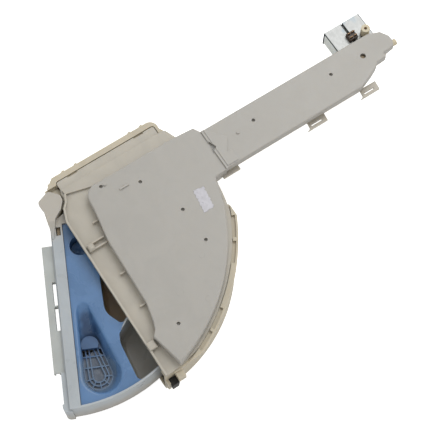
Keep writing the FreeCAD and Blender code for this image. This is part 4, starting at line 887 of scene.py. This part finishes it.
class DISPENSER_OT_valve(bpy.types.Operator):
    """Finishes the twin solenoid valve and what is inside it"""

    bl_idname = "dispenser.valve"
    bl_label = "Valve"

    def execute(self, context):
        own = colours()
        both = ("front", "rear")
        dress(["valve_body"], plastic("valve white", own.valve_white, rough=0.36, tone=0.05))
        dress(["inlet_filter"], plastic("sieve plastic", own.valve_white, rough=0.45, tone=0.08, grime_and_shade=0.6))
        brown = plastic("connector brown", own.connector_brown, rough=0.36, dust=0.06, depth=0.0)
        dress(["coil_connector"], brown)
        white = plastic("coil white", own.coil_white, rough=0.33, tone=0.05, grime_and_shade=0.4)
        dress([f"coil_{end}" for end in both], white)
        finish = {"tone": 0.08, "clouds": own.zinc_blue, "cut": YOKE_CUTS}
        zinc = metal("yoke zinc", own.yoke_zinc, rough=0.46, brushed=(30.0, 900.0, 900.0), **finish)
        dress([f"yoke_{end}" for end in both], zinc)
        steel = metal("tube steel", own.bright_steel, rough=0.24, brushed=(20.0, 700.0, 700.0))
        dress([f"guide_tube_{end}" for end in both], steel)
        iron = metal("plunger iron", own.plunger_iron, rough=0.34, brushed=(900.0, 40.0, 40.0))
        dress([f"plunger_{end}" for end in both], iron)
        brass = metal("terminal brass", own.brass, rough=0.26, brushed=(500.0, 60.0, 60.0))
        dress(["coil_terminals"], brass)
        rings = [f"{kind}_{end}" for kind in ("diaphragm", "outlet_seal") for end in both]
        dress(rings + ["flow_regulator"], rubber("seal rubber", own.rubber))
        return {"FINISHED"}


class DISPENSER_OT_springs(bpy.types.Operator):
    """Winds the two return springs of the plungers where the plain spring nodes were, and hides those nodes
    """

    bl_idname = "dispenser.springs"
    bl_label = "Return springs"

    def execute(self, context):
        own, fits = colours(), sizes()
        steel = metal("spring steel", own.bright_steel, rough=0.26, brushed=(300.0, 300.0, 300.0))
        for end in ("front", "rear"):
            node = f"plunger_spring_{end}"
            low, high = (np.array(corner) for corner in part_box(node))
            _, y, z = (low + high) / 2
            points, rows, columns = helix_tube(
                low[0], high[0], y, z, fits.spring_coil, fits.spring_wire, SPRING_TURNS
            )
            spring = new_piece(f"return_spring_{end}", points, grid_faces(rows, columns, wrap=True))
            spring.data.materials.append(steel)
            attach(spring, "housing")
            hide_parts(node)
            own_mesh(spring)
        return {"FINISHED"}


class DISPENSER_OT_sticker(bpy.types.Operator):
    """Lays the small blank paper sticker on the cover"""

    bl_idname = "dispenser.sticker"
    bl_label = "Sticker"

    def execute(self, context):
        fits = sizes()
        points = four_sided_surface(STICKER_CORNERS, STICKER_LEVEL, fits.sticker_curl, *STICKER_GRID)
        sticker = new_piece("cover_sticker", points, grid_faces(*STICKER_GRID))
        sticker.data.materials.append(paper("sticker paper", colours().paper))
        thicken(sticker, fits.sticker_thick, 1.0)
        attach(sticker, "housing")
        return {"FINISHED"}


class DISPENSER_OT_stage(bpy.types.Operator):
    """Sets the pale floor, the soft lights and the camera"""

    bl_idname = "dispenser.stage"
    bl_label = "Stage"

    def execute(self, context):
        scene = context.scene
        stage = scene.dispenser_stage
        self.floor(stage)
        self.lights(scene, stage)
        self.camera(scene, stage)
        scene.view_settings.view_transform = "Standard"
        return {"FINISHED"}

    def floor(self, stage):
        """A flat sheet just under the resting plane."""
        line = np.linspace(-FLOOR_REACH, FLOOR_REACH, FLOOR_ROWS)
        x, y = np.meshgrid(line, line)
        points = np.stack([x, y, np.full_like(x, FLOOR_LEVEL)], -1).reshape(-1, 3)
        floor = new_piece("studio_floor", points, grid_faces(FLOOR_ROWS, FLOOR_ROWS))
        material, tree, shader, place = new_material("studio floor")
        pale = colours().floor
        uneven = noise(tree, place, scale=3.0, detail=2.0)
        base = blended(tree, uneven, opaque(pale, gain=0.99), opaque(pale, gain=1.01))
        tree.links.new(base, shader.inputs["Base Color"])
        seen = tree.nodes.new("ShaderNodeLightPath").outputs["Is Camera Ray"]
        shader.inputs["Emission Color"].default_value = opaque(pale)
        tree.links.new(product(tree, seen, stage.floor_glow), shader.inputs["Emission Strength"])
        shader.inputs["Roughness"].default_value = 0.9
        shader.inputs["Specular IOR Level"].default_value = 0.1
        floor.data.materials.append(material)

    def lights(self, scene, stage):
        """Even white sky, a wide soft light above and behind the left side, and a weak low one."""
        world = bpy.data.worlds.new("studio sky")
        world.use_nodes = True
        sky = world.node_tree.nodes["Background"]
        sky.inputs["Color"].default_value = (1.0, 0.995, 0.985, 1.0)
        sky.inputs["Strength"].default_value = stage.sky
        scene.world = world
        middle = Vector(LIT_POINT)
        lamps = (("key light", KEY_PLACE, stage.key), ("fill light", FILL_PLACE, stage.fill))
        for name, place, power in lamps:
            data = bpy.data.lights.new(name, "AREA")
            data.size = LAMP_WIDTH
            data.energy = power
            lamp = bpy.data.objects.new(name, data)
            lamp.location = place
            lamp.rotation_euler = (middle - Vector(place)).to_track_quat("-Z", "Y").to_euler()
            scene.collection.objects.link(lamp)

    def camera(self, scene, stage):
        """A camera at an azimuth from the front and an elevation, looking at the target."""
        turn, rise = stage.azimuth, stage.elevation
        back = Vector((math.sin(turn) * math.cos(rise), -math.cos(turn) * math.cos(rise), math.sin(rise)))
        right = Vector((math.cos(turn), math.sin(turn), 0.0))
        up = back.cross(right)
        data = bpy.data.cameras.new("photo camera")
        data.sensor_width = SENSOR_WIDTH
        data.lens = data.sensor_width * stage.distance / stage.view_width
        data.clip_end = CLIP_END
        camera = bpy.data.objects.new("photo camera", data)
        pose = Matrix((right, up, back)).transposed().to_4x4()
        pose.translation = Vector(stage.target) + back * stage.distance
        camera.matrix_world = pose
        scene.collection.objects.link(camera)
        scene.camera = camera


OPERATORS = (
    DISPENSER_OT_housing,
    DISPENSER_OT_cover,
    DISPENSER_OT_drawer,
    DISPENSER_OT_film,
    DISPENSER_OT_ledges,
    DISPENSER_OT_valve,
    DISPENSER_OT_springs,
    DISPENSER_OT_sticker,
    DISPENSER_OT_stage,
)


class DISPENSER_PT_panel(bpy.types.Panel):
    """Lists the steps that dress the dispenser"""

    bl_idname = "DISPENSER_PT_panel"
    bl_label = "Dispenser"
    bl_space_type = "VIEW_3D"
    bl_region_type = "UI"
    bl_category = "Dispenser"

    def draw(self, context):
        for operator in OPERATORS:
            self.layout.operator(operator.bl_idname)


CLASSES = (DispenserColours, DispenserSizes, DispenserStage, *OPERATORS, DISPENSER_PT_panel)
SETTINGS = {
    "dispenser_colours": DispenserColours,
    "dispenser_sizes": DispenserSizes,
    "dispenser_stage": DispenserStage,
}


def register():
    for item in CLASSES:
        bpy.utils.register_class(item)
    for name, group in SETTINGS.items():
        setattr(bpy.types.Scene, name, PointerProperty(type=group))


def unregister():
    for name in SETTINGS:
        delattr(bpy.types.Scene, name)
    for item in reversed(CLASSES):
        bpy.utils.unregister_class(item)


def main():
    register()
    bpy.ops.dispenser.housing()
    bpy.ops.dispenser.cover()
    bpy.ops.dispenser.drawer()
    bpy.ops.dispenser.film()
    bpy.ops.dispenser.ledges()
    bpy.ops.dispenser.valve()
    bpy.ops.dispenser.springs()
    bpy.ops.dispenser.sticker()
    bpy.ops.dispenser.stage()


if __name__ == "__main__":
    main()
